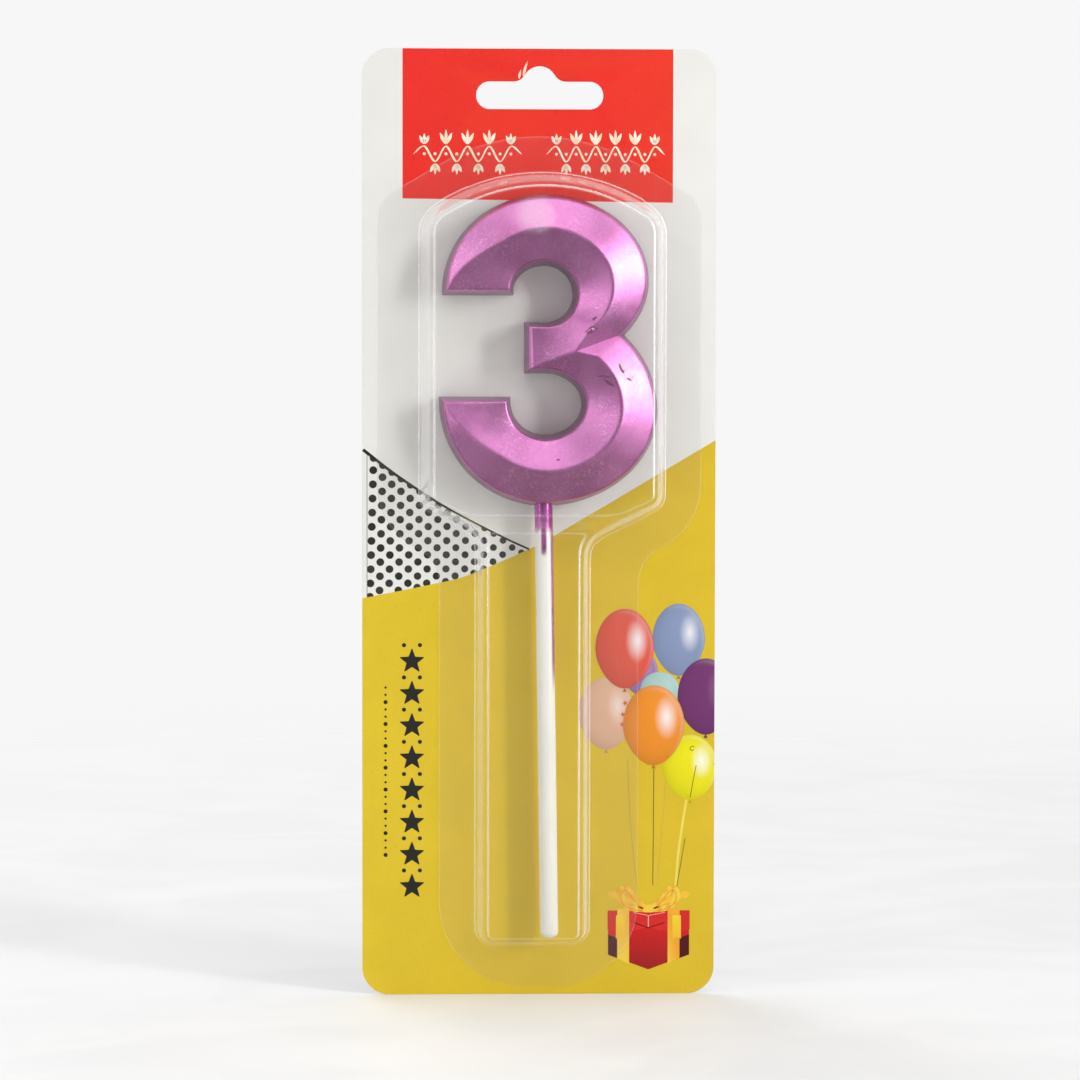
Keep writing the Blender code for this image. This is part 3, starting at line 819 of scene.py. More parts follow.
def balloon_colour(centre, radii, base, glint):
    """Darker to the rim, with a soft glint at the upper right."""
    def colour(x, z):
        u = (x - centre[0]) / radii[0]
        v = (z - centre[1]) / radii[1]
        r = min(1.0, math.hypot(u, v))
        light = 1.0 + 0.16 * (0.5 * u + 0.4 * v) - 0.16 * r ** 4
        spot = math.hypot((u - 0.42) / 0.24, (v - 0.2) / 0.34)
        soft = max(0.0, 1 - spot / 1.7) ** 1.1 * glint
        edge = max(0.0, 1 - abs(r - 0.93) / 0.1) * max(0.0, u * 0.7 + v * 0.4) * 0.25
        share = min(1.0, soft + edge)
        return tuple(min(1.0, c * light) * (1 - share) + 0.88 * share for c in base)
    return colour


def print_balloons():
    """Eight balloons in layers, their strings, and small marks on them."""
    balloons = Print("print_balloons")
    edge = card_hi.x - 0.05

    for points, width, tone in (
            ([(17.9, 48.0), (18.6, 34), (20.0, 21.0)], 0.11, (0.42, 0.30, 0.05)),
            ([(23.25, 45.6), (23.2, 34), (23.1, 22)], 0.17, (0.15, 0.12, 0.04)),
            ([(25.9, 47.0), (25.0, 34), (24.0, 22)], 0.12, (0.50, 0.40, 0.08)),
            ([(29.9, 39.6), (29.0, 34), (28.2, 28), (27.7, 21.2)], 0.5, (0.80, 0.66, 0.10)),
            ([(29.6, 31.5), (28.7, 26), (27.9, 21.4)], 0.16, (0.18, 0.15, 0.04))):
        balloons.stroke(curve(points, 12), width, 2, tone)
    for x, z, a, b, base, glint, layer in (
            (24.4, 61.6, 3.9, 3.6, (0.36, 0.55, 0.50), 0.1, 4),
            (20.4, 65.2, 3.6, 4.6, (0.31, 0.16, 0.38), 0.1, 3),
            (13.6, 56.8, 5.6, 7.3, (0.70, 0.43, 0.29), 0.55, 3),
            (30.6, 45.9, 5.5, 6.6, (0.77, 0.70, 0.006), 0.9, 4),
            (28.2, 71.7, 5.3, 7.25, (0.23, 0.29, 0.46), 0.85, 5),
            (33.7, 60.2, 5.7, 7.7, (0.165, 0.035, 0.15), 0.1, 6),
            (17.3, 69.9, 5.9, 8.05, (0.69, 0.093, 0.055), 0.95, 7),
            (23.2, 54.4, 6.2, 8.05, (0.79, 0.26, 0.02), 0.9, 8)):
        balloons.disc((min(x, edge), z), (a, b), layer,
                      balloon_colour((x, z), (a, b), base, glint), 14, 56, egg,
                      lambda px, pz: (min(px, edge), pz))
        if x + 0.5 < edge:
            foot = z - b
            knot = [(x, foot + 0.1), (x + 0.45, foot - 0.75), (x + 0.05, foot - 0.6),
                    (x - 0.45, foot - 0.75)]
            balloons.shape(knot, layer, tuple(c * 0.6 for c in base))
    for centre in ((17.4, 58.9), (17.0, 56.6), (16.9, 54.6)):
        balloons.shape(star(centre, 0.26, 0.62), 5, (0.70, 0.10, 0.05))
    for mark in (curve([(31.8, 46.3), (31.2, 43.2), (30.6, 39.8)], 6),
                 spiral((31.0, 49.6), 0.5, 0.8, 0.9)):
        balloons.stroke(mark, 0.14, 5, (0.12, 0.10, 0.02))
    balloons.done()


def print_gift():
    """The gift box: body, lid, two ribbons, bow and knot."""
    gift = Print("print_gift")
    left, right, middle = 14.1, 30.5, 22.25

    def lid(x, z):
        return (0.70 - 0.10 * abs(x - middle) / 8, 0.02, 0.018)

    def front(x, z):
        return (0.30 + 0.34 * max(0.0, min(1.0, (z - 5.0) / 9.0)), 0.012, 0.012)

    def gold(x, z):
        wave = 0.5 + 0.5 * math.sin(3.3 * x + 0.7 * z)
        return (0.82, 0.34 + 0.26 * wave, 0.02 + 0.05 * wave)

    def mirrored(side, *points):
        """Points from (out from the box's middle, up), on one side of it."""
        return [(middle + side * out, up) for out, up in points]

    gift.shape([(left, 14.6), (left, 7.9), (middle, 4.9), (right, 7.9), (right, 14.6),
                (middle, 15.0)], 2, front)
    for edge, into in ((left, 2.1), (right, -2.1)):
        gift.shape([(edge, 12.0), (edge, 7.9), (edge + into, 7.1), (edge + into, 11.2)], 3,
                   (0.085, 0.006, 0.012))
    gift.shape([(left - 0.1, 16.9), (right + 0.1, 16.9), (right + 0.1, 13.0), (right - 2.6, 12.3),
                (middle, 13.4), (left + 2.6, 12.3), (left - 0.1, 13.0)], 3, lid)
    gift.shape([(19.2, 16.6), (middle, 15.9), (25.6, 16.6), (25.4, 14.5), (middle, 13.5),
                (19.4, 14.5)], 4, (0.63, 0.02, 0.018))
    gift.stroke([(19.3, 14.4), (middle, 13.35), (25.5, 14.4)], 0.22, 5, (0.2, 0.006, 0.008))
    gift.stroke([(19.2, 16.5), (middle, 15.85), (25.6, 16.5)], 0.16, 5, (0.9, 0.30, 0.24))
    gift.stroke([(middle, 15.85), (middle, 13.6)], 0.2, 5, (0.95, 0.45, 0.38))
    for side in (-1, 1):
        gift.shape(mirrored(side, (6.3, 17.2), (3.9, 17.2), (3.9, 6.0), (6.3, 7.1)), 5, gold)
        gift.shape(mirrored(side, (6.55, 15.9), (6.6, 11.1), (5.7, 11.6), (4.9, 10.9),
                            (4.8, 15.9)), 6, lambda x, z: (0.84, 0.47 + 0.03 * (z - 11), 0.03))
        gift.shape(mirrored(side, (7.4, 20.9), (8.3, 20.5), (8.0, 19.5), (6.5, 19.2),
                            (1.0, 17.5), (0.8, 18.4)), 4, (0.80, 0.50, 0.04))
        loop = curve(mirrored(side, (0.4, 17.4), (2.2, 18.4), (4.4, 21.1), (5.5, 20.7),
                              (5.3, 18.7), (3.4, 17.4), (0.6, 17.0)), 8)
        gift.stroke(loop, [0.95 + 0.6 * math.sin(math.pi * k / (len(loop) - 1))
                           for k in range(len(loop))], 6, gold)
        gift.stroke([(p.x, p.y - 0.25) for p in loop], 0.14, 7, (0.66, 0.28, 0.01))
    knot = mirrored(1, (-1.0, 18.1), (1.0, 18.1), (1.1, 16.5), (-1.1, 16.5))
    gift.shape(rounded(knot, [0.4] * 4, 4), 8, (0.85, 0.55, 0.05))
    gift.done()


# The blister -----------------------------------------------------------------

def arch(half, apex):
    """Heights of an arch's sharp peak and of its shoulders, before rounding."""
    peak = apex + ARCH_RADIUS * (1 / math.cos(ARCH_ANGLE) - 1)
    return peak, peak - half * math.tan(ARCH_ANGLE)


def bubble_outline():
    """The numeral's pocket: arched above, and drawn in to a blunt tip below its hips."""
    side, hip, low = 7, 3.5, 3
    peak, shoulder = arch(BUBBLE_HALF, BUBBLE_APEX)
    tip = HIP_Z - BUBBLE_HALF * math.tan(HIP_ANGLE)
    corners = [(BUBBLE_X, peak), (BUBBLE_X + BUBBLE_HALF, shoulder),
               (BUBBLE_X + BUBBLE_HALF, HIP_Z), (BUBBLE_X, tip),
               (BUBBLE_X - BUBBLE_HALF, HIP_Z), (BUBBLE_X - BUBBLE_HALF, shoulder)]
    return rounded(corners, [ARCH_RADIUS, side, hip, low, hip, side], 16)


def trough_outline():
    """The stick's pocket, which runs up into the numeral's."""
    top = HIP_Z + 12
    corner = 3.4
    corners = [(TROUGH_X - TROUGH_HALF, top), (TROUGH_X + TROUGH_HALF, top),
               (TROUGH_X + TROUGH_HALF, TROUGH_BOTTOM), (TROUGH_X - TROUGH_HALF, TROUGH_BOTTOM)]
    return rounded(corners, [0, 0, corner, corner])


def flange_outline():
    """The sheet's cut edge, round both pockets."""
    side, bend, inner_bend, corner = 7, 14, 8, 17
    half = blister_hi.x
    lower = TROUGH_HALF + abs(TROUGH_X) + SEAL_SIDE
    peak, shoulder = arch(half, blister_hi.z)
    hip = HIP_Z + (half - BUBBLE_X - BUBBLE_HALF) * math.tan(HIP_ANGLE)
    hip -= SEAL_SIDE / math.cos(HIP_ANGLE)
    neck = hip - (half - lower) * math.tan(HIP_ANGLE)
    corners = [(0, peak), (half, shoulder), (half, hip), (lower, neck), (lower, blister_lo.z),
               (-lower, blister_lo.z), (-lower, neck), (-half, hip), (-half, shoulder)]
    return rounded(corners, [ARCH_RADIUS, side, bend, inner_bend, corner,
                             corner, inner_bend, bend, side], 20)


def pocket_rise(reach, depth):
    """Height of a drafted wall with a filleted foot and shoulder, by distance in."""
    slope = 1 / WALL_DRAFT
    steep = math.hypot(1, slope)
    centre = (SHOULDER * steep + depth - SHOULDER) / slope
    touch = centre - SHOULDER * slope / steep
    foot = BASE_FILLET * (1 - steep) / slope
    leave = foot + BASE_FILLET * slope / steep
    low = BASE_FILLET - np.sqrt(np.clip(BASE_FILLET ** 2 - (reach - foot) ** 2, 0, None))
    high = depth - SHOULDER + np.sqrt(np.clip(SHOULDER ** 2 - (centre - reach) ** 2, 0, None))
    return np.select([reach < foot, reach < leave, reach < touch, reach < centre],
                     [np.zeros_like(reach), low, slope * reach, high], depth)


def blister_rise(x, z):
    """How far the sheet's outer face stands in front of its flange."""
    neck_blend, ramp_blend, step_blend, step_lift = 3.2, 3.0, 2.2, 4
    bubble = signed_distance(x, z, bubble_outline())
    trough = signed_distance(x, z, trough_outline())
    low = pocket_rise(smooth_max(bubble, trough, neck_blend), TROUGH_RISE)
    ramp = (z - (HIP_Z - RAMP_DROP)) / RAMP_SLOPE
    deep = smooth_min(pocket_rise(bubble, BUBBLE_RISE), np.maximum(ramp, 0), ramp_blend)
    deep = np.where(ramp < 0, 0, np.maximum(deep, 0))
    lift = np.clip(np.maximum(low, deep) / step_lift, 0, 1)
    return np.minimum(smooth_max(low, deep, step_blend * lift * lift), BUBBLE_RISE)


def spaced(stops):
    """Grid lines from (place, spacing) stops, the spacing of each up to the next."""
    lines = []
    for (start, step), (end, _) in zip(stops, stops[1:]):
        count = max(1, round((end - start) / step))
        lines += [start + (end - start) * i / count for i in range(count)]
    return lines + [stops[-1][0]]


def make_blister():
    """One formed sheet: a height field inside the flange, sewn to its cut edge."""
    outline = flange_outline()
    bl, br = BUBBLE_X - BUBBLE_HALF, BUBBLE_X + BUBBLE_HALF
    tl, tr = TROUGH_X - TROUGH_HALF, TROUGH_X + TROUGH_HALF
    xs = spaced([(blister_lo.x, 1.0), (bl - 1.2, 0.2), (bl + 4.2, 0.9), (tl - 1.2, 0.2),
                 (tl + 3.6, 0.9), (tr - 3.6, 0.2), (tr + 1.2, 0.9), (br - 4.2, 0.2),
                 (br + 1.2, 1.0), (blister_hi.x, 1)])
    zs = spaced([(blister_lo.z, 1.0), (TROUGH_BOTTOM - 1.2, 0.2), (TROUGH_BOTTOM + 4, 2.0),
                 (HIP_Z - 14, 0.35), (HIP_Z + 4, 1.6), (BUBBLE_APEX - 26, 0.4),
                 (BUBBLE_APEX - 12, 0.3), (BUBBLE_APEX + 1.2, 1.0), (blister_hi.z, 1)])
    grid_x, grid_z = np.meshgrid(np.array(xs), np.array(zs))
    rise = blister_rise(grid_x, grid_z)
    edge, within = segment_distance(grid_x, grid_z, outline)
    keep = (within & (edge > 0.5)).ravel()
    bm = bmesh.new()
    verts = [add_vert(bm, x, FLANGE_FRONT - h, z)
             for x, h, z in zip(grid_x.ravel(), rise.ravel(), grid_z.ravel())]
    count = len(xs)
    for r in range(len(zs) - 1):
        for c in range(count - 1):
            low, high = r * count + c, (r + 1) * count + c
            face = (low, low + 1, high + 1, high)
            if all(keep[i] for i in face):
                bm.faces.new([verts[i] for i in face])
    for vert in [v for v in bm.verts if not v.link_faces]:
        bm.verts.remove(vert)
    inner_edges = [e for e in bm.edges if e.is_boundary]
    lip, ring = [], []
    for i, point in enumerate(outline):
        ahead = outline[(i + 1) % len(outline)] - outline[i - 1]
        into = Vector((ahead.y, -ahead.x)).normalized() * LIP_WIDTH
        lip.append(add_vert(bm, point.x, FLANGE_FRONT + LIP_DROP, point.y))
        ring.append(add_vert(bm, point.x + into.x, FLANGE_FRONT, point.y + into.y))
    join_rings(bm, [lip, ring])
    border = [bm.edges.get((ring[i - 1], ring[i])) for i in range(len(ring))]
    bmesh.ops.triangle_fill(bm, use_beauty=True, edges=inner_edges + border, normal=(0, -1, 0))
    face_out(bm)
    if sum(f.normal.y for f in bm.faces) > 0:
        bmesh.ops.reverse_faces(bm, faces=bm.faces)
    item = link("clear_blister", bm, clear, None)
    modify(item, "SOLIDIFY", thickness=SHEET * MM, offset=-1)
    item.data.set_sharp_from_angle(angle=math.radians(60))
    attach(item, "blister")
    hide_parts("blister_shell")


# The numeral -----------------------------------------------------------------

def bowl(crown_z, roof_z, near_z, left, right, bulge_shift, notch):
    """Matching outer and inner arcs: (centre, radii, first angle, last angle)."""
    middle = (roof_z + near_z) / 2
    end_z = middle + END_RAISE
    bulge_z = middle + bulge_shift
    across = right - CROWN_SHIFT
    notch_angle = math.degrees(math.acos((notch.x - CROWN_SHIFT) / across))
    notch_radius = abs(bulge_z - notch.y) / math.sin(math.radians(notch_angle))
    inner_left = CROWN_SHIFT - (left + STROKE_END)
    inner_right = right - STROKE_SIDE - CROWN_SHIFT
    end, bulge, mid = (Vector((CROWN_SHIFT, z)) for z in (end_z, bulge_z, middle))
    outer = [(end, (CROWN_SHIFT - left, abs(crown_z - end_z)), 180, 90),
             (bulge, (across, abs(crown_z - bulge_z)), 90, 0),
             (bulge, (across, notch_radius), 0, -notch_angle)]
    inner = [(end, (inner_left, abs(roof_z - end_z)), 180, 90),
             (mid, (inner_right, abs(roof_z - middle)), 90, 0),
             (mid, (inner_right, abs(near_z - middle)), 0, -90)]
    return outer, inner


def on_arc(arc, angle, flip):
    """A point of an elliptic arc; flip turns it over for the lower bowl."""
    centre, radii, _, _ = arc
    turn = math.radians(angle)
    return centre + Vector((radii[0] * math.cos(turn), flip * radii[1] * math.sin(turn)))


def bowl_rows(outer, inner, flip):
    """Rows across a bowl's stroke: outer edge, ridge, inner edge, share of the rise."""
    rows = []
    for number, (outer_arc, inner_arc) in enumerate(zip(outer, inner)):
        _, radii, first, last = outer_arc
        length = math.radians(abs(last - first)) * (radii[0] + radii[1]) / 2
        count = max(4, round(length / 0.6))
        angles = [first + (last - first) * i / count for i in range(count + 1)]
        if number == 0:
            per = (last - first) / length
            angles[1:1] = [first + per * d for d in (0.05, 0.13, 0.24, 0.38)]
        for angle in angles[1 if rows else 0:]:
            share = math.sin(min(1.0, (180 - angle) / RIDGE_RAMP) * math.pi / 2)
            edge, hole = on_arc(outer_arc, angle, flip), on_arc(inner_arc, angle, flip)
            rows.append((edge, edge.lerp(hole, 0.5 * share), hole, share))
    return rows


def split_line(points, count):
    """Points spread evenly along a broken line, both ends included."""
    lengths = [0.0]
    for a, b in zip(points, points[1:]):
        lengths.append(lengths[-1] + (b - a).length)
    out = []
    for i in range(count + 1):
        goal = lengths[-1] * i / count
        k = max(j for j in range(len(lengths)) if lengths[j] <= goal + 1e-9)
        k = min(k, len(points) - 2)
        span = lengths[k + 1] - lengths[k]
        out.append(points[k].lerp(points[k + 1], (goal - lengths[k]) / span if span else 0))
    return out


def strip(rows):
    """Surface points of a facet from its crease to its outline.

    A row is (crease, edge, share, apex drop, crest width); each point comes back
    as (across, up, height over the edge plane) before the rim is rounded.
    """
    # Places across a facet: near its crease, over its middle and near its rim.
    near = (0.0, 0.1, 0.22, 0.38, 0.6, 1.0)
    middle = (0.15, 0.32, 0.5, 0.68, 0.85)
    far = (1.25, 0.85, 0.55, 0.3, 0.12, 0.0)
    table = []
    for crease, edge, share, drop, width in rows:
        reach = (edge - crease).length
        row = []
        k = min(1.0, reach / (2.2 * (CREST + RIM)))  # draws the places in on a short facet
        start, end = CREST * k, reach - RIM * far[0] * k
        places = [CREST * k * n for n in near]
        places += [start + (end - start) * m for m in middle]
        places += [reach - RIM * k * f for f in far]
        for place in places:
            t = place / reach if reach > 1e-9 else 0.0
            point = crease.lerp(edge, t)
            height = share * RIDGE_RISE * (1 - t)
            if width > 1e-6 and place < width:
                height -= drop * (1 - place / width) ** 2
            row.append((point.x, point.y, height))
        table.append(row)
    return table


def figure_strips():
    """The facets: each bowl's outer and inner side, and the fan where the bowls meet."""
    half = FIGURE_HALF
    waist = WAIST_SHARE * FIGURE_HEIGHT
    arm_top, arm_bottom = waist + ARM_HEIGHT / 2, waist - ARM_HEIGHT / 2
    notch = Vector((half - NOTCH_DEPTH, waist + NOTCH_RAISE))
    junction = notch - Vector((VALLEY_ACROSS, VALLEY_DOWN))
    tip_top = Vector((CROWN_SHIFT - ARM_REACH, arm_top))
    tip_bottom = Vector((CROWN_SHIFT - ARM_REACH, arm_bottom))
    upper = bowl(FIGURE_HEIGHT, FIGURE_HEIGHT - STROKE_END, arm_top,
                 -half + UPPER_INSET_LEFT, half - UPPER_INSET_RIGHT, UPPER_BULGE_RAISE, notch)
    lower = bowl(0.0, STROKE_END, arm_bottom, -half, half, -LOWER_BULGE_DROP, notch)
    fan, tail_count = 6, 20
    tail = split_line([junction, tip_bottom], tail_count)[:-1] + [tip_bottom]
    chains = []
    for (outer, inner), flip, tip in ((upper, 1, tip_top), (lower, -1, tip_bottom)):
        edges, creases, holes, shares = (list(c) for c in zip(*bowl_rows(outer, inner, flip)))
        last_ridge = creases[-1]
        rest = [on_arc(inner[2], angle, flip)
                for angle in np.linspace(outer[2][3], -90, 14)] + [tip]
        holes += split_line(rest, fan + tail_count)[1:]
        for i in range(1, fan + 1):
            creases.append(last_ridge.lerp(junction, i / fan))
            shares.append(1 + (JUNCTION_SHARE - 1) * i / fan)
            edges.append(notch)
        creases += tail[1:]
        shares += [JUNCTION_SHARE * (1 - i / tail_count) for i in range(1, tail_count + 1)]
        chains.append((creases, shares, edges, holes))
    strips = []
    joined = len(chains[0][2]), len(chains[1][2])
    for side, (creases, shares, edges, holes) in enumerate(chains):
        other = chains[1 - side]
        drops, widths = [], []
        for i, crease in enumerate(creases):
            inner_reach = (holes[i] - crease).length
            if i < joined[side]:
                outer_reach = (edges[i] - crease).length
            else:
                outer_reach = (other[3][i - joined[side] + joined[1 - side]] - crease).length
            if i == joined[side] - 1:
                inner_reach = outer_reach = JUNCTION_REACH
            width = min(CREST, 0.4 * min(inner_reach, outer_reach))
            slopes = shares[i] * RIDGE_RISE * (1 / max(inner_reach, 1e-6)
                                               + 1 / max(outer_reach, 1e-6))
            drops.append(width * min(slopes, 1.6) / 4 if width > 1e-6 else 0.0)
            widths.append(width)
        strips.append(strip(list(zip(creases[:joined[side]], edges, shares, drops, widths))))
        strips.append(strip(list(zip(creases, holes, shares, drops, widths))))
    return strips


def boundary_loop(bm):
    """The vertices round a surface's open edge, in order."""
    beside = {}
    for edge in bm.edges:
        if edge.is_boundary:
            for vert in edge.verts:
                beside.setdefault(vert, []).append(edge.other_vert(vert))
    start = max(beside, key=lambda v: (v.co.z, v.co.x))
    loop, last, current = [start], None, start
    while True:
        last, current = current, next(v for v in beside[current] if v is not last)
        if current is start:
            return loop
        loop.append(current)


def ripple(x, z):
    """The cast front's slight unevenness, in millimetres."""
    return 0.035 * noise.noise(Vector((x * 0.22, 3.1, z * 0.22))) + 0.012 * noise.noise(
        Vector((x * 0.8, 9.7, z * 0.8)))


def weld(bm):
    """Joins points that lie together; the bmesh is in millimetres."""
    bmesh.ops.remove_doubles(bm, verts=bm.verts[:], dist=0.0008)
    bmesh.ops.dissolve_degenerate(bm, dist=0.0005, edges=bm.edges[:])


def figure_front():
    """The facetted front with its rounded rim, and its edge as vertices and as points."""
    bm = bmesh.new()
    for table in figure_strips():
        rows = [[bm.verts.new((x, h, z)) for x, z, h in row] for row in table]
        for low, high in zip(rows, rows[1:]):
            for i in range(len(low) - 1):
                bm.faces.new((low[i], low[i + 1], high[i + 1], high[i]))
    weld(bm)
    loop = boundary_loop(bm)
    outline = [Vector((v.co.x, v.co.z)) for v in loop]
    if sum(outline[i - 1].cross(outline[i]) for i in range(len(outline))) > 0:
        outline.reverse()
        loop.reverse()
    px = np.array([v.co.x for v in bm.verts])
    pz = np.array([v.co.z for v in bm.verts])
    away, _ = segment_distance(px, pz, outline)
    for vert, d in zip(bm.verts, away):
        height = vert.co.y + ripple(vert.co.x, vert.co.z) * min(1.0, d / 1.5)
        if d < RIM:
            height -= RIM - math.sqrt(max(0.0, RIM ** 2 - (RIM - d) ** 2))
        vert.co = (vert.co.x, FIGURE_EDGE - height, vert.co.z)
    return bm, loop, outline


def side_rings(bm, loop, outline):
    """Rings down the drafted side wall; points that cross at a corner are drawn together."""
    normals = []
    for i, point in enumerate(outline):
        before = (point - outline[i - 1]).normalized()
        after = (outline[(i + 1) % len(outline)] - point).normalized()
        n0, n1 = Vector((-before.y, before.x)), Vector((-after.y, after.x))
        middle = (n0 + n1).normalized()
        normals.append(middle / max(0.5, middle.dot(n1)))
    depth = FIGURE_BACK - FIGURE_EDGE
    rings = [loop]
    steps = [(y, DRAFT * y / depth) for y in (1.0, 2.4, 4.2, 6.0, depth - 0.3)]
    for y, grow in steps + [(depth - 0.1, DRAFT - 0.1), (depth, DRAFT - 0.3)]:
        ring = [p + n * grow for p, n in zip(outline, normals)]
        away, _ = segment_distance(np.array([q.x for q in ring]), np.array([q.y for q in ring]),
                                   outline)
        good = [d > 0.97 * grow for d in away]
        count = len(ring)
        for i in range(count):
            if not good[i]:
                back = next(k for k in range(1, count) if good[i - k])
                ahead = next(k for k in range(1, count) if good[(i + k) % count])
                ring[i] = (ring[i - back] + ring[(i + ahead) % count]) / 2
        rings.append([bm.verts.new((q.x, FIGURE_EDGE + y, q.y)) for q in ring])
    return rings


def cut_bore(item):
    """Cuts the wick's bore, with a dished mouth, into the numeral's top."""
    bm = bmesh.new()
    profile = ((2.6, 1.6), (0.9, 1.25), (0.45, 1.02), (0.0, 0.94), (-2.0, 0.92))
    capped_tube(bm, [level_ring(bm, WICK.x, WICK.y, wick_hi.z + up, radius, 28)
                     for up, radius in profile])
    face_out(bm)
    tool = bpy.data.objects.new("bore", mesh_from(bm, "bore"))
    bpy.context.scene.collection.objects.link(tool)
    modify(item, "BOOLEAN", operation="DIFFERENCE", object=tool)
    bpy.data.objects.remove(tool)


def mark_rim(mesh, outline):
    """Writes each point's place for the coating: 0 to 1 in from the rim, 2 on the side, where the
    coating takes painted shade.
    """
    co = np.zeros(len(mesh.vertices) * 3)
    mesh.vertices.foreach_get("co", co)
    co = co.reshape(-1, 3) / MM
    away, _ = segment_distance(co[:, 0] - FIGURE_X, co[:, 2] - FIGURE_BOTTOM, outline)
    rim = np.clip(away / 1.2, 0, 1)
    rim = np.where(co[:, 1] > FIGURE_EDGE + 0.02, 0.5, rim)
    # The side wall gets 2, for its painted shade.
    rim = np.where(co[:, 1] > FIGURE_EDGE + 0.9, 2.0, rim)
    attribute = mesh.attributes.new("rim", "FLOAT", "POINT")
    attribute.data.foreach_set("value", rim.astype(np.float32))


def make_figure():
    """The numeral: front, drafted sides, flat back and the wick's bore."""
    bm, loop, outline = figure_front()
    rings = side_rings(bm, loop, outline)
    join_rings(bm, rings)
    bm.faces.new(rings[-1])
    weld(bm)
    bmesh.ops.triangulate(bm, faces=[f for f in bm.faces if len(f.verts) > 4])
    face_out(bm)
    bmesh.ops.translate(bm, verts=bm.verts, vec=(FIGURE_X, 0, FIGURE_BOTTOM))
    bmesh.ops.scale(bm, verts=bm.verts, vec=(MM, MM, MM))
    item = link("numeral_three", bm, metal, None)
    cut_bore(item)
    mark_rim(item.data, outline)
    item.data.shade_smooth()
    item.data.set_sharp_from_angle(angle=math.radians(50))
    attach(item, "candle")
    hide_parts("candle_digit")
    return item


# The stick and the wick -------------------------------------------------------

def make_stick():
    """A turned stick with a rounded foot and a faint unevenness along it."""
    radius = (stick_hi.y - stick_lo.y) / 2
    y = (stick_hi.y + stick_lo.y) / 2
    end_gap, skin, rounding, steps, sides = 0.05, 0.02, 1.25, 40, 48
    top = Vector((stick_lo.x + radius, y, stick_hi.z - end_gap))
    foot = Vector((stick_hi.x - radius, y, stick_lo.z + end_gap))
    axis = foot - top
    length = axis.length
    lean = (foot.x - top.x) / (top.z - foot.z)
    profile = [(0.0, radius - 0.3), (0.1, radius - skin)]
    for i in range(1, steps):
        down = length * i / steps
        if down < length - 1.6:
            profile.append((down, radius - skin + 0.012 * math.sin(down * 0.35)))
    for i in range(9):
        turn = math.pi / 2 * i / 8
        profile.append((length - rounding * (1 - math.sin(turn)),
                        radius - skin - rounding * (1 - math.cos(turn))))
    axis.normalize()
    across = Vector((0, 1, 0)).cross(axis).normalized()
    deep = axis.cross(across)
    turns = [math.tau * s / sides for s in range(sides)]
    bm = bmesh.new()
    capped_tube(bm, [[bm.verts.new((top + axis * down + (across * math.cos(turn)
                                                         + deep * math.sin(turn)) * reach) * MM)
                      for turn in turns] for down, reach in profile])
    face_out(bm)
    middle = top.x + (top.z - FIGURE_BOTTOM) * lean
    item = link("candle_stick_rod", bm,
                stick_material(FIGURE_BOTTOM, middle, lean), "candle", 50)
    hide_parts("candle_stick")


def make_wick():
    """Three plied strands, cut square."""
    cotton = cotton_material()
    radius = (wick_hi.x - wick_lo.x) / 2
    height = wick_hi.z - wick_lo.z
    strands, steps, turns, off, thick = 3, 60, 2.4, 0.46, 0.5
    bm = bmesh.new()
    for strand in range(strands):
        rings = []
        for i in range(steps + 1):
            t = i / steps
            twist = math.tau * (strand / strands + turns * t)
            rings.append(level_ring(bm, WICK.x + off * radius * math.cos(twist),
                                    WICK.y + off * radius * math.sin(twist),
                                    wick_lo.z + height * t, thick * radius, 14))
        capped_tube(bm, rings)
    face_out(bm)
    item = link("wick_braid", bm, cotton, "candle", 50)
    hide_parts("candle_wick")


def make_chips(figure):
    """Flakes of lifted coating and spots of bare wax, laid on the numeral's front.

    A spot is (across, up, length, width, turn); across and up are the frame's.
    """
    pale = chip_material("bare_wax", (0.62, 0.40, 0.52), (0.90, 0.80, 0.84))
    dark = chip_material("lifted_coating", (0.14, 0.02, 0.08), (0.30, 0.06, 0.19))
    shown = figure.evaluated_get(bpy.context.evaluated_depsgraph_get())
    draw = random.Random(7)
    sides = 14
    for name, material, lift, spots in (
            ("lifted_flakes", dark, 0.03,
             [(10.5, -44.6, 1.2, 0.5, 0.7), (9.9, -46.9, 2.4, 1.2, 0.5),
              (12.5, -56.0, 2.6, 0.45, -0.1), (13.4, -57.3, 2.3, 0.6, -0.6),
              (15.9, -54.5, 2.3, 0.5, -1.1), (17.4, -56.6, 1.3, 0.4, -0.5),
              (-17.0, -55.4, 1.0, 0.3, 0.1), (3.4, -72.5, 0.7, 0.35, 0.2)]),
            ("bare_spots", pale, 0.05,
             [(16.3, -54.3, 1.9, 0.7, -1.0), (18.0, -56.2, 1.2, 0.8, 0.4),
              (18.4, -57.8, 0.6, 0.4, 0.0), (10.2, -46.6, 0.5, 0.3, 0.5)])):
        bm = bmesh.new()
        for x, z, long, wide, turn in spots:
            ring = []
            cos, sin = math.cos(turn), math.sin(turn)
            for s in range(sides):
                angle = math.tau * s / sides
                reach = 1 + draw.uniform(-0.28, 0.28)
                u, v = long / 2 * reach * math.cos(angle), wide / 2 * reach * math.sin(angle)
                ring.append((x + u * cos - v * sin, z + u * sin + v * cos))
            verts = []
            for px, pz in [(x, z)] + ring:
                hit, place, normal, _ = shown.ray_cast((px * MM, -0.03, pz * MM), (0, 1, 0))
                if hit:
                    height = lift if (px, pz) != (x, z) else lift * 1.6
                    verts.append(bm.verts.new(place + normal * MM * height))
            if len(verts) == sides + 1:
                for s in range(sides):
                    bm.faces.new((verts[0], verts[1 + s], verts[1 + (s + 1) % sides]))
        face_out(bm)
        link(name, bm, material, "candle")


# The stage ---------------------------------------------------------------------

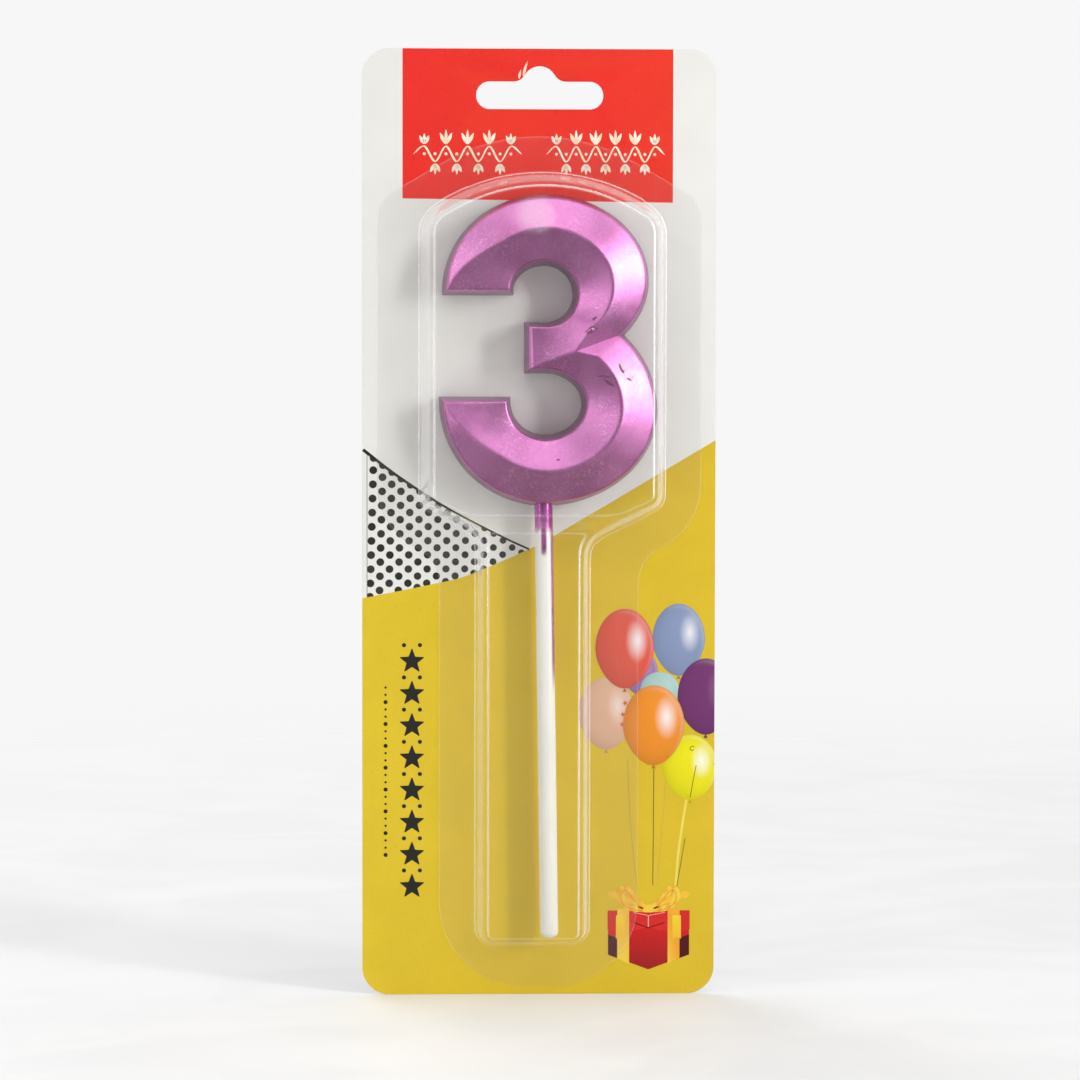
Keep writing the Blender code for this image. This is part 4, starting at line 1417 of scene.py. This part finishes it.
def make_stage():
    """A pale floor that fades into the background, and a soft studio sky."""
    p = Paint("floor_paint", (0.86, 0.86, 0.86), 0.6)
    tone = p.mix(p.ramp(p.noise(60, 4, distortion=1.2), 0.35, 0.65),
                 (0.84, 0.84, 0.845), (0.88, 0.88, 0.88))
    # Painted reflection: the floor turns dark grey in glossy rays only, which shades the numeral's
    # down-facing facets.
    p.set(Base_Color=p.mix(p.ray("Glossy"), tone, (0.2, 0.19, 0.195)))
    axes = p.split()
    reach = p.calc("SQRT", p.plus(p.times(axes["X"], axes["X"]), p.times(axes["Y"], axes["Y"])))
    fade = p.times(p.ramp(reach, 0.1, 0.75), p.ray("Camera"))
    p.finish(p.blend(fade, p.shader, p.node("BsdfTransparent")))
    bm = bmesh.new()
    bmesh.ops.create_circle(bm, cap_ends=True, radius=3.0, segments=96)
    bmesh.ops.translate(bm, verts=bm.verts, vec=(0, 0, card_lo.z * MM))
    link("floor", bm, p.material, None)

    world = bpy.data.worlds.new("studio")
    bpy.context.scene.world = world
    world.use_nodes = True
    w = Nodes(world.node_tree)
    w.tree.nodes.clear()
    axes = w.node("SeparateXYZ", {0: w.node("TexCoord").outputs["Generated"]})
    x, _, z = axes.outputs
    above = w.ramp(z, 0.05, 0.75, 0.0, 0.68)
    right = w.ramp(x, 0.3, 0.85, 0.0, 0.8)
    left = w.ramp(w.times(x, -1.0), 0.25, 0.75, 0.0, 0.85)
    total = w.calc("MINIMUM", w.plus(w.plus(above, right), w.plus(left, 0.16)), 1.3)
    pick = w.blend(w.ray("Camera"), w.node("Background", {"Strength": total}),
                   w.node("Background", {"Color": (0.93, 0.93, 0.935)}))
    w.node("OutputWorld", {0: pick.outputs[0]})


def aim(item, place, target):
    """Puts a lamp or camera in the scene, facing its target."""
    item.location = place
    item.rotation_euler = (Vector(target) - Vector(place)).to_track_quat("-Z", "Y").to_euler()
    bpy.context.scene.collection.objects.link(item)


def make_lights_and_camera():
    """Lamps as (name, direction, distance, size, power), and the photograph's view."""
    target = Vector((0, 0, (card_lo.z + card_hi.z) / 2 * MM))
    for name, towards, distance, size, power in (
            ("key", (1.28, -1.0, 0.45), 0.9, (0.2, 0.3), 2.2),
            ("strip_right", (1.2, -1.0, 0.02), 0.9, (0.08, 0.9), 2.6),
            ("strip_left", (-1.1, -0.75, 0.05), 0.9, (0.06, 0.9), 1.1),
            ("strip_top", (0.1, -0.8, 1.3), 0.9, (0.6, 0.05), 0.9),
            ("back_fill", (-0.5, 1.0, 0.8), 1.2, (0.6, 0.6), 3.0)):
        lamp = bpy.data.lights.new(name, "AREA")
        lamp.shape = "RECTANGLE"
        lamp.size, lamp.size_y = size
        lamp.energy = power
        aim(bpy.data.objects.new(name, lamp), target + Vector(towards).normalized() * distance,
            target)
    view = bpy.data.cameras.new("view")
    view.sensor_width = 36
    view.lens = CAMERA_LENS
    camera = bpy.data.objects.new("view", view)
    aim(camera, *((x, y, (card_lo.z + up) * MM) for x, y, up in (CAMERA_AT, CAMERA_TARGET)))
    camera.rotation_euler.rotate_axis("Z", math.radians(CAMERA_ROLL))
    bpy.context.scene.camera = camera
    bpy.context.scene.view_settings.view_transform = "Standard"


make_card()
print_field()
print_dots()
print_flourish()
print_column()
print_balloons()
print_gift()
make_blister()
figure = make_figure()
make_chips(figure)
make_stick()
make_wick()
make_stage()
make_lights_and_camera()
